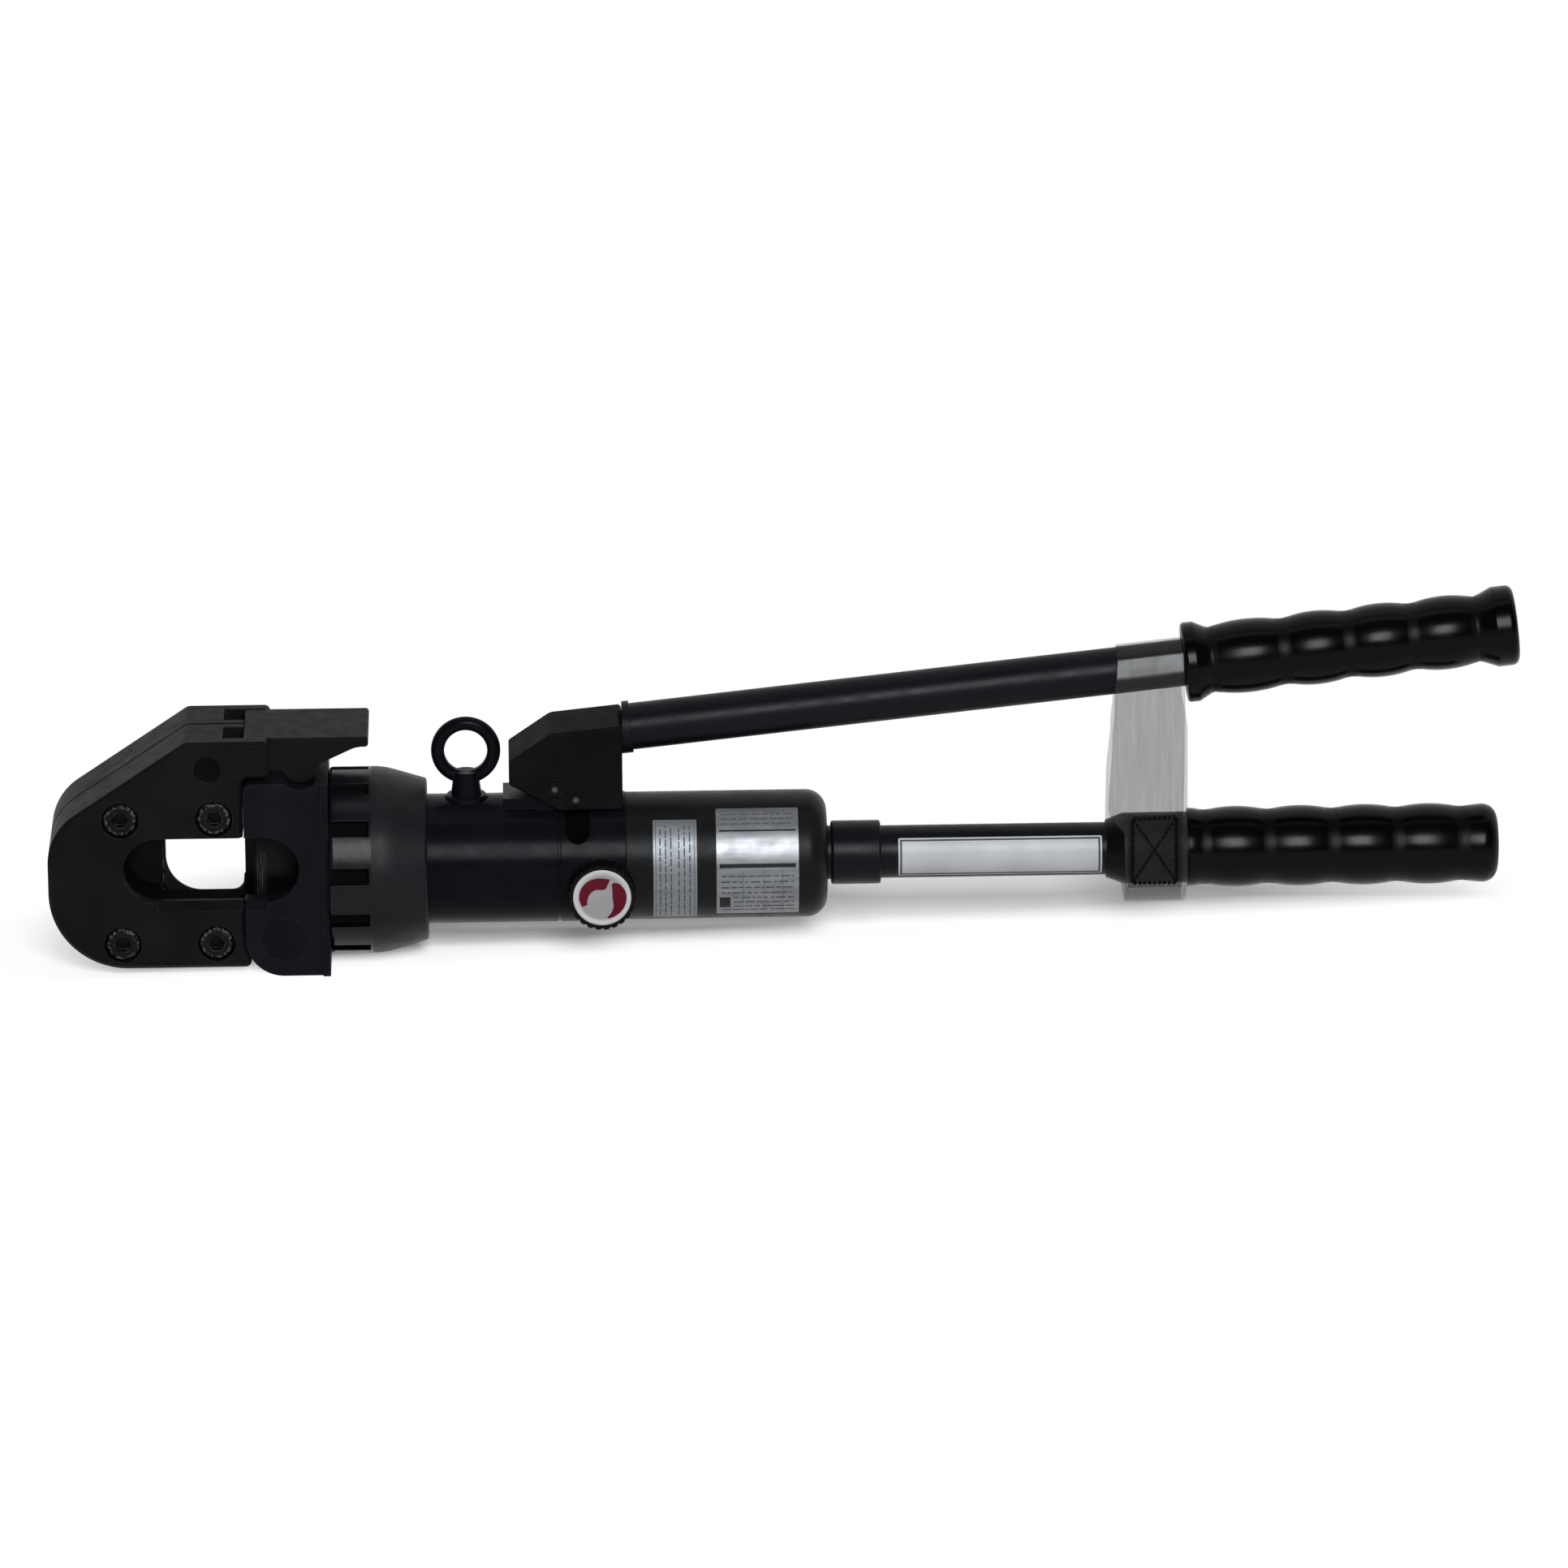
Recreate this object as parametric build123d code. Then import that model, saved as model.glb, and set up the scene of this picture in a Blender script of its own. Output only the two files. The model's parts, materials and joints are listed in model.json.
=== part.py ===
from build123d import *
import os
from math import cos, radians, sqrt, tan

# Hand hydraulic cutter, all lengths in millimetres and all angles in degrees.
# While a piece is built, x runs from the left end of the head to the grips, z is measured from the ram's
# axis, and y is zero on the seam between the two jaw plates, with the front of the tool towards minus y.
# write_parts then moves every piece so that the origin lies under the middle of the whole tool.

# Fits and clearances
RUNNING_GAP = 0.05
SEAT_GAP = 0.1
SWING_GAP = 0.4
FACE_GAP = 0.3

# Cutting head
HEAD_THICKNESS = 54.0
HEAD_TOP = 58.7
HEAD_BOTTOM = -36.8
HEAD_SLANT_LOW = 21.0
HEAD_SLANT_ANGLE = 33.7
HEAD_SHOULDER_RADIUS = 25.0
HEAD_HEEL_RADIUS = 32.0
HEAD_BROW_RADIUS = 4.0
HEAD_CORNER_RADIUS = 2.4
HEAD_EDGE = 1.6
SEAM_EDGE = 0.9
OVERHANG_LENGTH = 11.0
OVERHANG_GAP = 2.2
SWING_ANGLE = 65.0

# Hinge between the head and the yoke
HINGE_X = 95.0
HINGE_Z = -25.0
HINGE_PIN_RADIUS = 6.0
HINGE_HEAD_RADIUS = 9.0
HINGE_HEAD_HEIGHT = 4.0
HINGE_RING_BORE = 5.2
EYE_RADIUS = 11.0

# Cutting window and blades
WINDOW_TOP = 18.4
WINDOW_BOTTOM = -9.0
WINDOW_CHAMFER = 3.6
FRONT_SLOT_LEFT = 30.4
REAR_SLOT_BOTTOM = -20.5
REAR_SLOT_RADIUS = 15.0
REAR_SLOT_CORNER = 5.0
REAR_SLOT_STEP = 1.1
FIXED_EDGE_X = 46.0
FIXED_BLADE_LENGTH = 32.0
FIXED_BLADE_HEIGHT = 40.0
BLADE_THICKNESS = 7.8
BLADE_HEIGHT = 26.0
BLADE_LENGTH = 24.0
BLADE_BEVEL = 5.0
BLADE_FREE_END = 1.0
MOVING_EDGE_X = 79.2
RAM_STROKE = 34.0
TANG_LENGTH = 28.0
TANG_HEIGHT = 18.0
BLADE_PIN_RADIUS = 3.0
BLADE_PIN_INSET = 8.2

# Screws that clamp the jaw plates together
SCREW_LEFT_X = 29.7
SCREW_RIGHT_X = 67.6
SCREW_RISE = 26.4
SCREW_RADIUS = 4.0
SCREW_HEAD_RADIUS = 6.5
SCREW_HEAD_HEIGHT = 8.0
SCREW_HEAD_GAP = 1.0
SCREW_SINK = 8.6
SCREW_LENGTH = 36.0
SCREW_KEY = 6.0
SCREW_KEY_DEPTH = 4.0

# Latch
LATCH_PIN_X = 65.4
LATCH_PIN_Z = 47.6
LATCH_PIN_RADIUS = 5.3
LATCH_EYE_RADIUS = 7.4
LATCH_HALF_WIDTH = 20.0
LATCH_RIB = 9.6
LATCH_END_X = 130.4
LATCH_TAB_THICKNESS = 4.2
LATCH_BAR_BOTTOM = 44.5
LATCH_ARM_LOW = 5.4
LATCH_ARM_HIGH = 1.0
LATCH_BRACE = 15.5
LATCH_BRACE_ROUND = 12.0
LATCH_ROUND = 1.4
LATCH_ARC_RADIUS = 18.3
NOSE_X = 102.6
NOSE_RADIUS = 7.5
NOSE_DEPTH = 1.5
NOSE_GAP = 1.0
LATCH_NOTCH_LEFT = 71.6
LATCH_SPRING_RADIUS = 6.4
LATCH_SPRING_WIRE = 0.6
LATCH_SPRING_TURNS = 4
LATCH_SPRING_WIDTH = 5.4

# Yoke
CHEEK_RADIUS = 15.5
YOKE_ROUND = 3.0
CHEEK_THICKNESS = 11.0
YOKE_TOP = 41.0
YOKE_RIGHT = 113.7
YOKE_WALL = 6.7
YOKE_FLANGE = 3.1
YOKE_FLANGE_RISE = 1.5
BRIDGE_LEFT = 88.0
BRIDGE_BOTTOM = 21.0
CHEEK_SLOT_RIGHT = 101.6
SPIGOT_RADIUS = 30.9
SPIGOT_LENGTH = 20.3

# Ram
ROD_RADIUS = 13.0
BORE_RADIUS = 20.0
PISTON_LENGTH = 12.0
RAM_NOSE_X = 115.0
SPRING_SPACE = 53.0
BUSH_WALL = 3.0
BUSH_LENGTH = 16.0
RETURN_WIRE = 1.6
RETURN_TURNS = 5.5
SEAL_WIDTH = 4.0
SEAL_DEPTH = 2.4

# Collar nut
COLLAR_RADIUS = 38.0
COLLAR_END_RADIUS = 32.8
COLLAR_LENGTH = 39.5
COLLAR_TAPER_LENGTH = 17.5
COLLAR_TAPER_RADIUS = 30.0
COLLAR_ROUND = 1.5
COLLAR_LIP = 7.4
SPANNER_SLOTS = 12
SPANNER_WIDTH = 6.8
SPANNER_DEPTH = 4.0
SPANNER_LENGTH = 16.0
SPANNER_TURN = 6.8

# Pump body
BODY_RADIUS = 26.4
BODY_TAIL = 28.5
BODY_SPIGOT_GAP = 0.2
BODY_SPIGOT_LENGTH = 10.0
GROOVE_SETBACK = 1.5
GROOVE_WIDTH = 1.2
GROOVE_DEPTH = 0.6
END_WALL_GAP = 0.5

# Lifting eye, behind the collar and above the body
EYE_BOLT_SETBACK = 16.1
EYE_BOLT_RISE = 19.6
EYE_BORE_RADIUS = 8.75
EYE_RING_RADIUS = 11.3
EYE_WIRE_RADIUS = 2.8
EYE_NECK_RADIUS = 6.2
EYE_NECK_TOP_RADIUS = 5.0
EYE_FOOT_RADIUS = 8.6
EYE_FOOT_HEIGHT = 2.6
EYE_THREAD_RADIUS = 4.0
EYE_THREAD_LENGTH = 4.4

# Pump lever, measured from its fulcrum, which stands behind the lifting eye and above the body
FULCRUM_SETBACK = 35.9
FULCRUM_RISE = 7.6
DRIVE_REACH = 8.5
DRIVE_DROP = 4.5
FULCRUM_PIN_RADIUS = 3.0
DRIVE_PIN_RADIUS = 2.5
EAR_RADIUS = 5.6
EAR_THICKNESS = 4.5
EAR_FOOT_FRONT = 7.5
EAR_FOOT_BACK = 3.5
BRACKET_HALF_WIDTH = 16.0
BRACKET_WALL = 4.0
BRACKET_FRONT = 18.5
BRACKET_BACK = 27.5
BRACKET_FOOT = 9.6
BRACKET_HEIGHT = 26.0
BRACKET_SHOULDER_RISE = 23.0
BRACKET_SLOPE_LENGTH = 17.0
BRACKET_NOSE_RISE = 11.4
BRACKET_TOE_RISE = 1.8
BRACKET_HEEL = 1.5
BRACKET_CEILING_RISE = 8.0
BRACKET_ROUND = 1.5
BRACKET_SHOULDER_ROUND = 7.0
BRACKET_EDGE = 0.8
CLIP_THICKNESS = 0.8
CLIP_RIM = 1.5
CLIP_GROOVE = 0.5
PIN_STUB = 0.8
STOP_FRONT = 21.0
STOP_BACK = 3.5
STOP_RISE = 2.0
STOP_HALF_WIDTH = 11.0

# Pump plunger and its gland
PLUNGER_RADIUS = 5.0
PLUNGER_BOTTOM = 0.0
PLUNGER_EYE_WALL = 1.8
PLUNGER_EYE_HALF_WIDTH = 5.2
PUMP_POCKET_DEPTH = 4.4
PUMP_POCKET_HALF = 6.0
PUMP_GROOVE_HEIGHT = 13.4
PUMP_GROOVE_DEPTH = 5.5
PUMP_GROOVE_HALF = 5.0
GLAND_RADIUS = 8.5
GLAND_HEIGHT = 8.0
PLUNGER_SEAL_HEIGHT = 2.5
CHAMBER_BOTTOM = -6.0

# Valves
VALVE_Z = -3.0
VALVE_BORE = 2.6
VALVE_PORT = 1.2
BALL_RADIUS = 2.0
BALL_SPRING_REST = 1.45
DELIVERY_PLUG_LENGTH = 1.6
SUCTION_PLUG_LENGTH = 4.0
CHECK_SPRING_RADIUS = 1.6
CHECK_WIRE = 0.25
CHECK_TURNS = 3
DELIVERY_SEAT_SETBACK = 7.5
SUCTION_INSET = 3.0
RELIEF_SEAT_Y = 9.0
RELIEF_SCREW_Y = 20.0
RELIEF_BORE = 3.4
RELIEF_POPPET = 5.0
RELIEF_SINK = 1.2
STRAINER_RADIUS = 6.0
STRAINER_WALL = 1.2
STRAINER_LENGTH = 14.0

# Release valve
RELEASE_INSET = 10.0
RELEASE_Z = -6.0
STEM_RADIUS = 4.0
STEM_TIP_Y = -9.0
STEM_TIP_GAP = 0.4
KNOB_RADIUS = 13.6
KNOB_GAP = 1.2
KNOB_HEIGHT = 9.4
KNOB_CAP = 2.8
KNOB_LABEL_RADIUS = 11.8
KNOB_LABEL_THICKNESS = 0.8
KNOB_FLUTES = 24
KNOB_FLUTE_RADIUS = 0.9

# Reservoir and handle adapter
RESERVOIR_STEP = 0.4
RESERVOIR_WALL = 3.0
RESERVOIR_LENGTH = 82.0
RESERVOIR_END_RADIUS = 8.4
RESERVOIR_END_WALL = 5.0
BLADDER_GAP = 1.2
BLADDER_WALL = 1.5
BLADDER_INSET = 12.0
RING_SECTION = 1.6
RING_INSET = 3.4
ADAPTER_RADIUS = 13.0
ADAPTER_NECK_RADIUS = 11.0
ADAPTER_NECK_LENGTH = 1.8
ADAPTER_LENGTH = 22.0
ADAPTER_SOCKET = 16.0
ADAPTER_ROUND = 1.0

# Labels, as bare plates wrapped on round surfaces
LABEL_THICKNESS = 0.4
LABEL_CORNER = 0.6
SPEC_LABEL_SETBACK = 36.6
SPEC_LABEL_WIDTH = 33.4
SPEC_LABEL_ANGLES = (-48.0, 62.0)
SIDE_LABEL_SETBACK = 11.0
SIDE_LABEL_WIDTH = 17.7
SIDE_LABEL_ANGLES = (-55.0, 50.0)
NAMEPLATE_SETBACK = 7.0
NAMEPLATE_LENGTH = 83.0
NAMEPLATE_ANGLES = (-44.0, 46.0)

# Lower handle, its grip measured from the grip's own left end
LOWER_TUBE_RADIUS = 10.75
LOWER_TUBE_WALL = 2.0
LOWER_GRIP_SETBACK = 2.0
LOWER_GRIP_LENGTH = 160.0
LOWER_GRIP_CAP = 6.4
LOWER_COLLAR_RADIUS = 14.5
LOWER_FLARE_LENGTH = 7.0
LOWER_FLARE_RADIUS = 11.8
LOWER_COLLAR_LENGTH = 33.5
LOWER_SHOULDER_RADIUS = 16.1
LOWER_SHOULDER_RISE = 0.3
LOWER_FIRST_WAIST = 39.9
LOWER_END_BUMP = 14.9
LOWER_WAIST_RADIUS = 14.9
LOWER_WAISTS = 5
LOWER_RISE = 1.6
LOWER_END_RADIUS = 16.0
LOWER_END_RISE = 0.5
LOWER_END_ROUND = 6.0
GRIP_WAIST_ROUND = 12.0

# Pump handle, measured along its own tilted axis from the bracket
HANDLE_GAP = 0.6
HANDLE_RISE = 20.7
HANDLE_TILT = 6.0
UPPER_TUBE_RADIUS = 9.5
UPPER_TUBE_WALL = 2.0
TUBE_RING_RADIUS = 10.6
TUBE_RING_LENGTH = 3.2
BRACKET_STUB = 18.0
UPPER_GRIP_GAP = 2.1
UPPER_GRIP_LENGTH = 135.6
UPPER_GRIP_CAP = 6.6
UPPER_FIRST_WAIST = 41.0
UPPER_END_NECK = 16.0
UPPER_WAIST_RADIUS = 13.1
UPPER_WAISTS = 4
UPPER_RISE = 1.9
UPPER_FLANGE_RADIUS = 16.3
UPPER_FLANGE_LENGTH = 5.0
UPPER_FLANGE_NECK = 11.0
UPPER_FLANGE_ROUND = 1.6
UPPER_END_LENGTH = 8.6
UPPER_END_ROUND = 3.0
UPPER_NECK_ROUND = 3.0

# Strap, a loose loop round the pump handle and the lower grip's collar
STRAP_INSET = 1.0
STRAP_WIDTH = 28.4
STRAP_THICKNESS = 1.2
STRAP_UPPER_GAP = 0.6
STRAP_LOWER_RADIUS = 16.4
STRAP_DROP = 5.0

# Derived places
HALF_THICKNESS = HEAD_THICKNESS / 2
CHEEK_LEFT = HINGE_X - CHEEK_RADIUS
HEAD_RIGHT = CHEEK_LEFT - SWING_GAP
CLEVIS_HALF_GAP = HALF_THICKNESS - CHEEK_THICKNESS
TONGUE_HALF_WIDTH = CLEVIS_HALF_GAP - FACE_GAP
YOKE_BOTTOM = HINGE_Z - CHEEK_RADIUS
CLEVIS_BACK = YOKE_RIGHT - YOKE_WALL
SPIGOT_RIGHT = YOKE_RIGHT + SPIGOT_LENGTH
PISTON_LEFT = SPIGOT_RIGHT + SPRING_SPACE
PISTON_RIGHT = PISTON_LEFT + PISTON_LENGTH
BORE_END = PISTON_RIGHT + END_WALL_GAP
WINDOW_RADIUS = (WINDOW_TOP - WINDOW_BOTTOM) / 2
WINDOW_MIDDLE = (WINDOW_TOP + WINDOW_BOTTOM) / 2
BLADE_TOP = BLADE_HEIGHT / 2
BLADE_BACK_Y = -FACE_GAP
BLADE_FRONT_Y = BLADE_BACK_Y - BLADE_THICKNESS
TANG_RIGHT = MOVING_EDGE_X + BLADE_LENGTH + TANG_LENGTH
BLADE_PIN_X = TANG_RIGHT - BLADE_PIN_INSET
SCREW_SEAT_Y = SCREW_SINK - HALF_THICKNESS
HINGE_SEAT_Y = HINGE_HEAD_HEIGHT - HALF_THICKNESS
NOSE_Z = YOKE_TOP - NOSE_DEPTH + NOSE_RADIUS
BUSH_RADIUS = ROD_RADIUS + BUSH_WALL
SEAL_LEFT = PISTON_LEFT + (PISTON_LENGTH - SEAL_WIDTH) / 2
LATCH_TOP = HEAD_TOP - FACE_GAP
LATCH_SLOT_HALF = LATCH_HALF_WIDTH + FACE_GAP
RIB_HALF = LATCH_RIB / 2
COLLAR_LEFT = YOKE_RIGHT + FACE_GAP
COLLAR_RIGHT = COLLAR_LEFT + COLLAR_LENGTH
EYE_BOLT_X = COLLAR_RIGHT + EYE_BOLT_SETBACK
EYE_BOLT_Z = BODY_RADIUS + EYE_BOLT_RISE
EYE_SEAT_Z = sqrt(BODY_RADIUS ** 2 - EYE_FOOT_RADIUS ** 2)
FULCRUM_X = EYE_BOLT_X + FULCRUM_SETBACK
FULCRUM_Z = BODY_RADIUS + FULCRUM_RISE
DRIVE_X = FULCRUM_X + DRIVE_REACH
DRIVE_Z = FULCRUM_Z - DRIVE_DROP
DRIVE_ARM = sqrt(DRIVE_REACH ** 2 + DRIVE_DROP ** 2)
DRIVE_SHIFT = DRIVE_ARM - DRIVE_REACH
PLUNGER_X = DRIVE_X + DRIVE_SHIFT / 2
CHANNEL_HALF = BRACKET_HALF_WIDTH - BRACKET_WALL
BRACKET_RIGHT = FULCRUM_X + BRACKET_BACK
CLIP_SPAN = (BRACKET_HALF_WIDTH + SEAT_GAP, BRACKET_HALF_WIDTH + SEAT_GAP + CLIP_THICKNESS)
PIN_HALF = CLIP_SPAN[1] + PIN_STUB
BODY_LEFT = SPIGOT_RIGHT + SEAT_GAP
BODY_RIGHT = FULCRUM_X + BODY_TAIL
SPIGOT_END = BODY_RIGHT + BODY_SPIGOT_LENGTH
PUMP_FLOOR = BODY_RADIUS - PUMP_POCKET_DEPTH
GLAND_BOTTOM = PUMP_FLOOR - GLAND_HEIGHT
DELIVERY_SEAT_X = BORE_END + DELIVERY_SEAT_SETBACK
SUCTION_SHOULDER_X = BODY_RIGHT - SUCTION_INSET
DELIVERY_PLUG = (BORE_END, BORE_END + DELIVERY_PLUG_LENGTH)
SUCTION_PLUG = (SPIGOT_END - SUCTION_PLUG_LENGTH, SPIGOT_END)
BALL_REST = sqrt(BALL_RADIUS ** 2 - VALVE_PORT ** 2) + RUNNING_GAP
BALL_PLACES = (DELIVERY_SEAT_X - BALL_REST, SUCTION_PLUG[0] - BALL_REST)
RELEASE_X = BODY_RIGHT - RELEASE_INSET
KNOB_BACK_Y = -BODY_RADIUS - KNOB_GAP
KNOB_FRONT_Y = KNOB_BACK_Y - KNOB_HEIGHT
STEM_END_Y = KNOB_FRONT_Y + KNOB_CAP
RESERVOIR_RADIUS = BODY_RADIUS - RESERVOIR_STEP
RESERVOIR_BORE = RESERVOIR_RADIUS - RESERVOIR_WALL
BODY_SPIGOT_RADIUS = RESERVOIR_BORE - BODY_SPIGOT_GAP
RESERVOIR_RIGHT = BODY_RIGHT + RESERVOIR_LENGTH
BLADDER_RIGHT = RESERVOIR_RIGHT - BLADDER_INSET
SEAL_RING_SPAN = (BODY_RIGHT + RING_INSET, BODY_RIGHT + RING_INSET + 2 * RING_SECTION)
ADAPTER_RIGHT = RESERVOIR_RIGHT + ADAPTER_LENGTH
NAMEPLATE_LEFT = ADAPTER_RIGHT + NAMEPLATE_SETBACK
LOWER_GRIP_LEFT = NAMEPLATE_LEFT + NAMEPLATE_LENGTH + LOWER_GRIP_SETBACK
LOWER_GRIP_RIGHT = LOWER_GRIP_LEFT + LOWER_GRIP_LENGTH
LOWER_TUBE_RIGHT = LOWER_GRIP_RIGHT - LOWER_GRIP_CAP
HANDLE_X = BRACKET_RIGHT + HANDLE_GAP
HANDLE_Z = FULCRUM_Z + HANDLE_RISE
STRAP_LEFT = LOWER_GRIP_LEFT + STRAP_INSET
STRAP_MIDDLE = STRAP_LEFT + STRAP_WIDTH / 2
STRAP_RIGHT = STRAP_LEFT + STRAP_WIDTH
UPPER_GRIP_START = (STRAP_RIGHT + UPPER_GRIP_GAP - HANDLE_X) / cos(radians(HANDLE_TILT))
UPPER_GRIP_END = UPPER_GRIP_START + UPPER_GRIP_LENGTH
UPPER_TUBE_END = UPPER_GRIP_END - UPPER_GRIP_CAP
FAR = 400.0


def block(x_span, y_span, z_span):
    """Box between two corners."""
    spans = (x_span, y_span, z_span)
    centre = [(low + high) / 2 for low, high in spans]
    size = [high - low for low, high in spans]
    return Pos(*centre) * Box(*size)


def x_rod(radius, x_start, x_end, y=0.0, z=0.0):
    """Cylinder along x."""
    return Pos((x_start + x_end) / 2, y, z) * Rot(0, 90, 0) * Cylinder(radius, x_end - x_start)


def y_rod(radius, x, z, y_start, y_end):
    """Cylinder along y."""
    return Pos(x, (y_start + y_end) / 2, z) * Rot(90, 0, 0) * Cylinder(radius, y_end - y_start)


def z_rod(radius, x, y, z_start, z_end):
    """Cylinder along z."""
    return Pos(x, y, (z_start + z_end) / 2) * Cylinder(radius, z_end - z_start)


def rounded_outline(corners):
    """Closed face through corners given as (x, z, corner radius)."""
    points = [(x, z) for x, z, _ in corners]
    radii = [radius for _, _, radius in corners]
    return make_face(FilletPolyline(*points, radius=radii, close=True))


def plate(face, y_start, y_end):
    """Side profile given width across the tool."""
    return extrude(Plane.XZ.offset(-y_end) * face, amount=y_end - y_start)


def turned(corners):
    """Solid of revolution about x from (x, radius, corner radius)."""
    return revolve(Plane.XZ * rounded_outline(corners), Axis.X)


def coil_spring(mean_radius, wire_radius, turns, length):
    """Helical spring along z, its wire reaching from zero to the length."""
    rise = length - 2 * wire_radius
    path = Helix(rise / turns, rise, mean_radius)
    section = Plane(origin=path @ 0, z_dir=path % 0) * Circle(wire_radius)
    return Pos(0, 0, wire_radius) * sweep(section, path=path, is_frenet=True)


def wrapped_label(radius, left, width, angles):
    """Thin plate bent round the x axis, between angles above the front."""
    low, high = angles
    inner = radius + RUNNING_GAP
    outer = inner + LABEL_THICKNESS
    right = left + width
    corners = [(left, inner, 0), (right, inner, 0), (right, outer, 0), (left, outer, 0)]
    sheet = revolve(Plane.XZ * rounded_outline(corners), Axis.X, revolution_arc=high - low)
    ends = [edge for edge in sheet.edges() if abs(edge.length - LABEL_THICKNESS) < LABEL_THICKNESS / 10]
    return Rot(90 - high, 0, 0) * fillet(ends, LABEL_CORNER)


# Cutting head

def head_outline():
    """Side view of a jaw plate, with a heel that stops against the yoke when the head is open."""
    arc_radius = CHEEK_RADIUS + SWING_GAP
    slant_x = (HEAD_TOP - HEAD_SLANT_LOW) / tan(radians(HEAD_SLANT_ANGLE))
    overhang_x = HEAD_RIGHT + OVERHANG_LENGTH
    overhang_z = YOKE_TOP + OVERHANG_GAP
    stop_angle = 90 - SWING_ANGLE
    corner_z = HINGE_Z - arc_radius * tan(radians(stop_angle / 2))
    heel_x = HEAD_RIGHT + (corner_z - HEAD_BOTTOM) * tan(radians(stop_angle))
    return rounded_outline([
        (0, HEAD_SLANT_LOW, HEAD_SHOULDER_RADIUS),
        (slant_x, HEAD_TOP, HEAD_BROW_RADIUS),
        (overhang_x, HEAD_TOP, HEAD_CORNER_RADIUS),
        (overhang_x, overhang_z, HEAD_CORNER_RADIUS),
        (HEAD_RIGHT, overhang_z, HEAD_CORNER_RADIUS),
        (HEAD_RIGHT, corner_z, arc_radius),
        (heel_x, HEAD_BOTTOM, HEAD_CORNER_RADIUS),
        (0, HEAD_BOTTOM, HEAD_HEEL_RADIUS),
    ])


def latch_room(side):
    """Space in a jaw plate for one finger of the latch, its bar and the spring."""
    reach = HEAD_RIGHT + OVERHANG_LENGTH + SWING_GAP
    finger_span = sorted((side * RIB_HALF, side * LATCH_SLOT_HALF))
    bar_span = sorted((-side * SEAT_GAP, side * LATCH_SLOT_HALF))
    spring_span = sorted((0, side * (LATCH_SPRING_WIDTH / 2 + SWING_GAP)))
    eye_room = LATCH_EYE_RADIUS + SWING_GAP
    room = y_rod(eye_room, LATCH_PIN_X, LATCH_PIN_Z, *finger_span)
    room += block((LATCH_PIN_X, reach), finger_span, (LATCH_PIN_Z - eye_room, LATCH_PIN_Z + eye_room))
    room += block((LATCH_NOTCH_LEFT, reach), finger_span, (LATCH_PIN_Z, HEAD_TOP + SWING_GAP))
    bar = block((LATCH_PIN_X, reach), bar_span, (LATCH_BAR_BOTTOM - SWING_GAP, HEAD_TOP + SWING_GAP))
    room += bar - y_rod(LATCH_ARC_RADIUS - SWING_GAP, LATCH_PIN_X, LATCH_PIN_Z, -FAR, FAR)
    room += y_rod(LATCH_SPRING_RADIUS + 2 * LATCH_SPRING_WIRE, LATCH_PIN_X, LATCH_PIN_Z, *spring_span)
    return room


def end_face(solid, side):
    """Face of a solid that lies furthest to the front for side -1, or to the rear for side 1."""
    faces = solid.faces().sort_by(Axis.Y)
    return faces[0] if side < 0 else faces[-1]


def jaw_blank(side):
    """Jaw plate with its hinge tongue; side is -1 for the front plate and 1 for the rear plate."""
    y_span = sorted((0, side * HALF_THICKNESS))
    tongue_span = sorted((0, side * TONGUE_HALF_WIDTH))
    jaw = plate(head_outline(), *y_span)
    jaw = chamfer(end_face(jaw, side).edges(), HEAD_EDGE)
    jaw = chamfer(end_face(jaw, -side).edges(), SEAM_EDGE)
    jaw += y_rod(EYE_RADIUS, HINGE_X, HINGE_Z, *tongue_span)
    neck_z = (HINGE_Z - EYE_RADIUS, HINGE_Z + EYE_RADIUS)
    jaw += block((HEAD_RIGHT - 2 * HEAD_EDGE, HINGE_X), tongue_span, neck_z)
    jaw -= y_rod(HINGE_PIN_RADIUS + RUNNING_GAP, HINGE_X, HINGE_Z, -FAR, FAR)
    jaw -= y_rod(LATCH_PIN_RADIUS + RUNNING_GAP, LATCH_PIN_X, LATCH_PIN_Z, -FAR, FAR)
    return jaw - latch_room(side)


def screw_places():
    """Centres of the four clamping screws in side view."""
    return [(x, z) for x in (SCREW_LEFT_X, SCREW_RIGHT_X) for z in (-SCREW_RISE, SCREW_RISE)]


def front_jaw_plate():
    jaw = jaw_blank(-1)
    jaw -= window_slot(FRONT_SLOT_LEFT, HEAD_RIGHT + SWING_GAP)
    jaw -= window_chamfer(FRONT_SLOT_LEFT + WINDOW_RADIUS, HEAD_RIGHT + SWING_GAP)
    pocket_left = MOVING_EDGE_X - RAM_STROKE - BLADE_FREE_END
    pocket_z = (-BLADE_TOP - FACE_GAP, WINDOW_TOP)
    jaw -= block((pocket_left, HEAD_RIGHT + SWING_GAP), (BLADE_FRONT_Y - FACE_GAP, FACE_GAP), pocket_z)
    for x, z in screw_places():
        jaw -= y_rod(SCREW_RADIUS + SEAT_GAP, x, z, -FAR, FAR)
        jaw -= y_rod(SCREW_HEAD_RADIUS + SCREW_HEAD_GAP, x, z, -FAR, SCREW_SEAT_Y)
    return jaw


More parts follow.
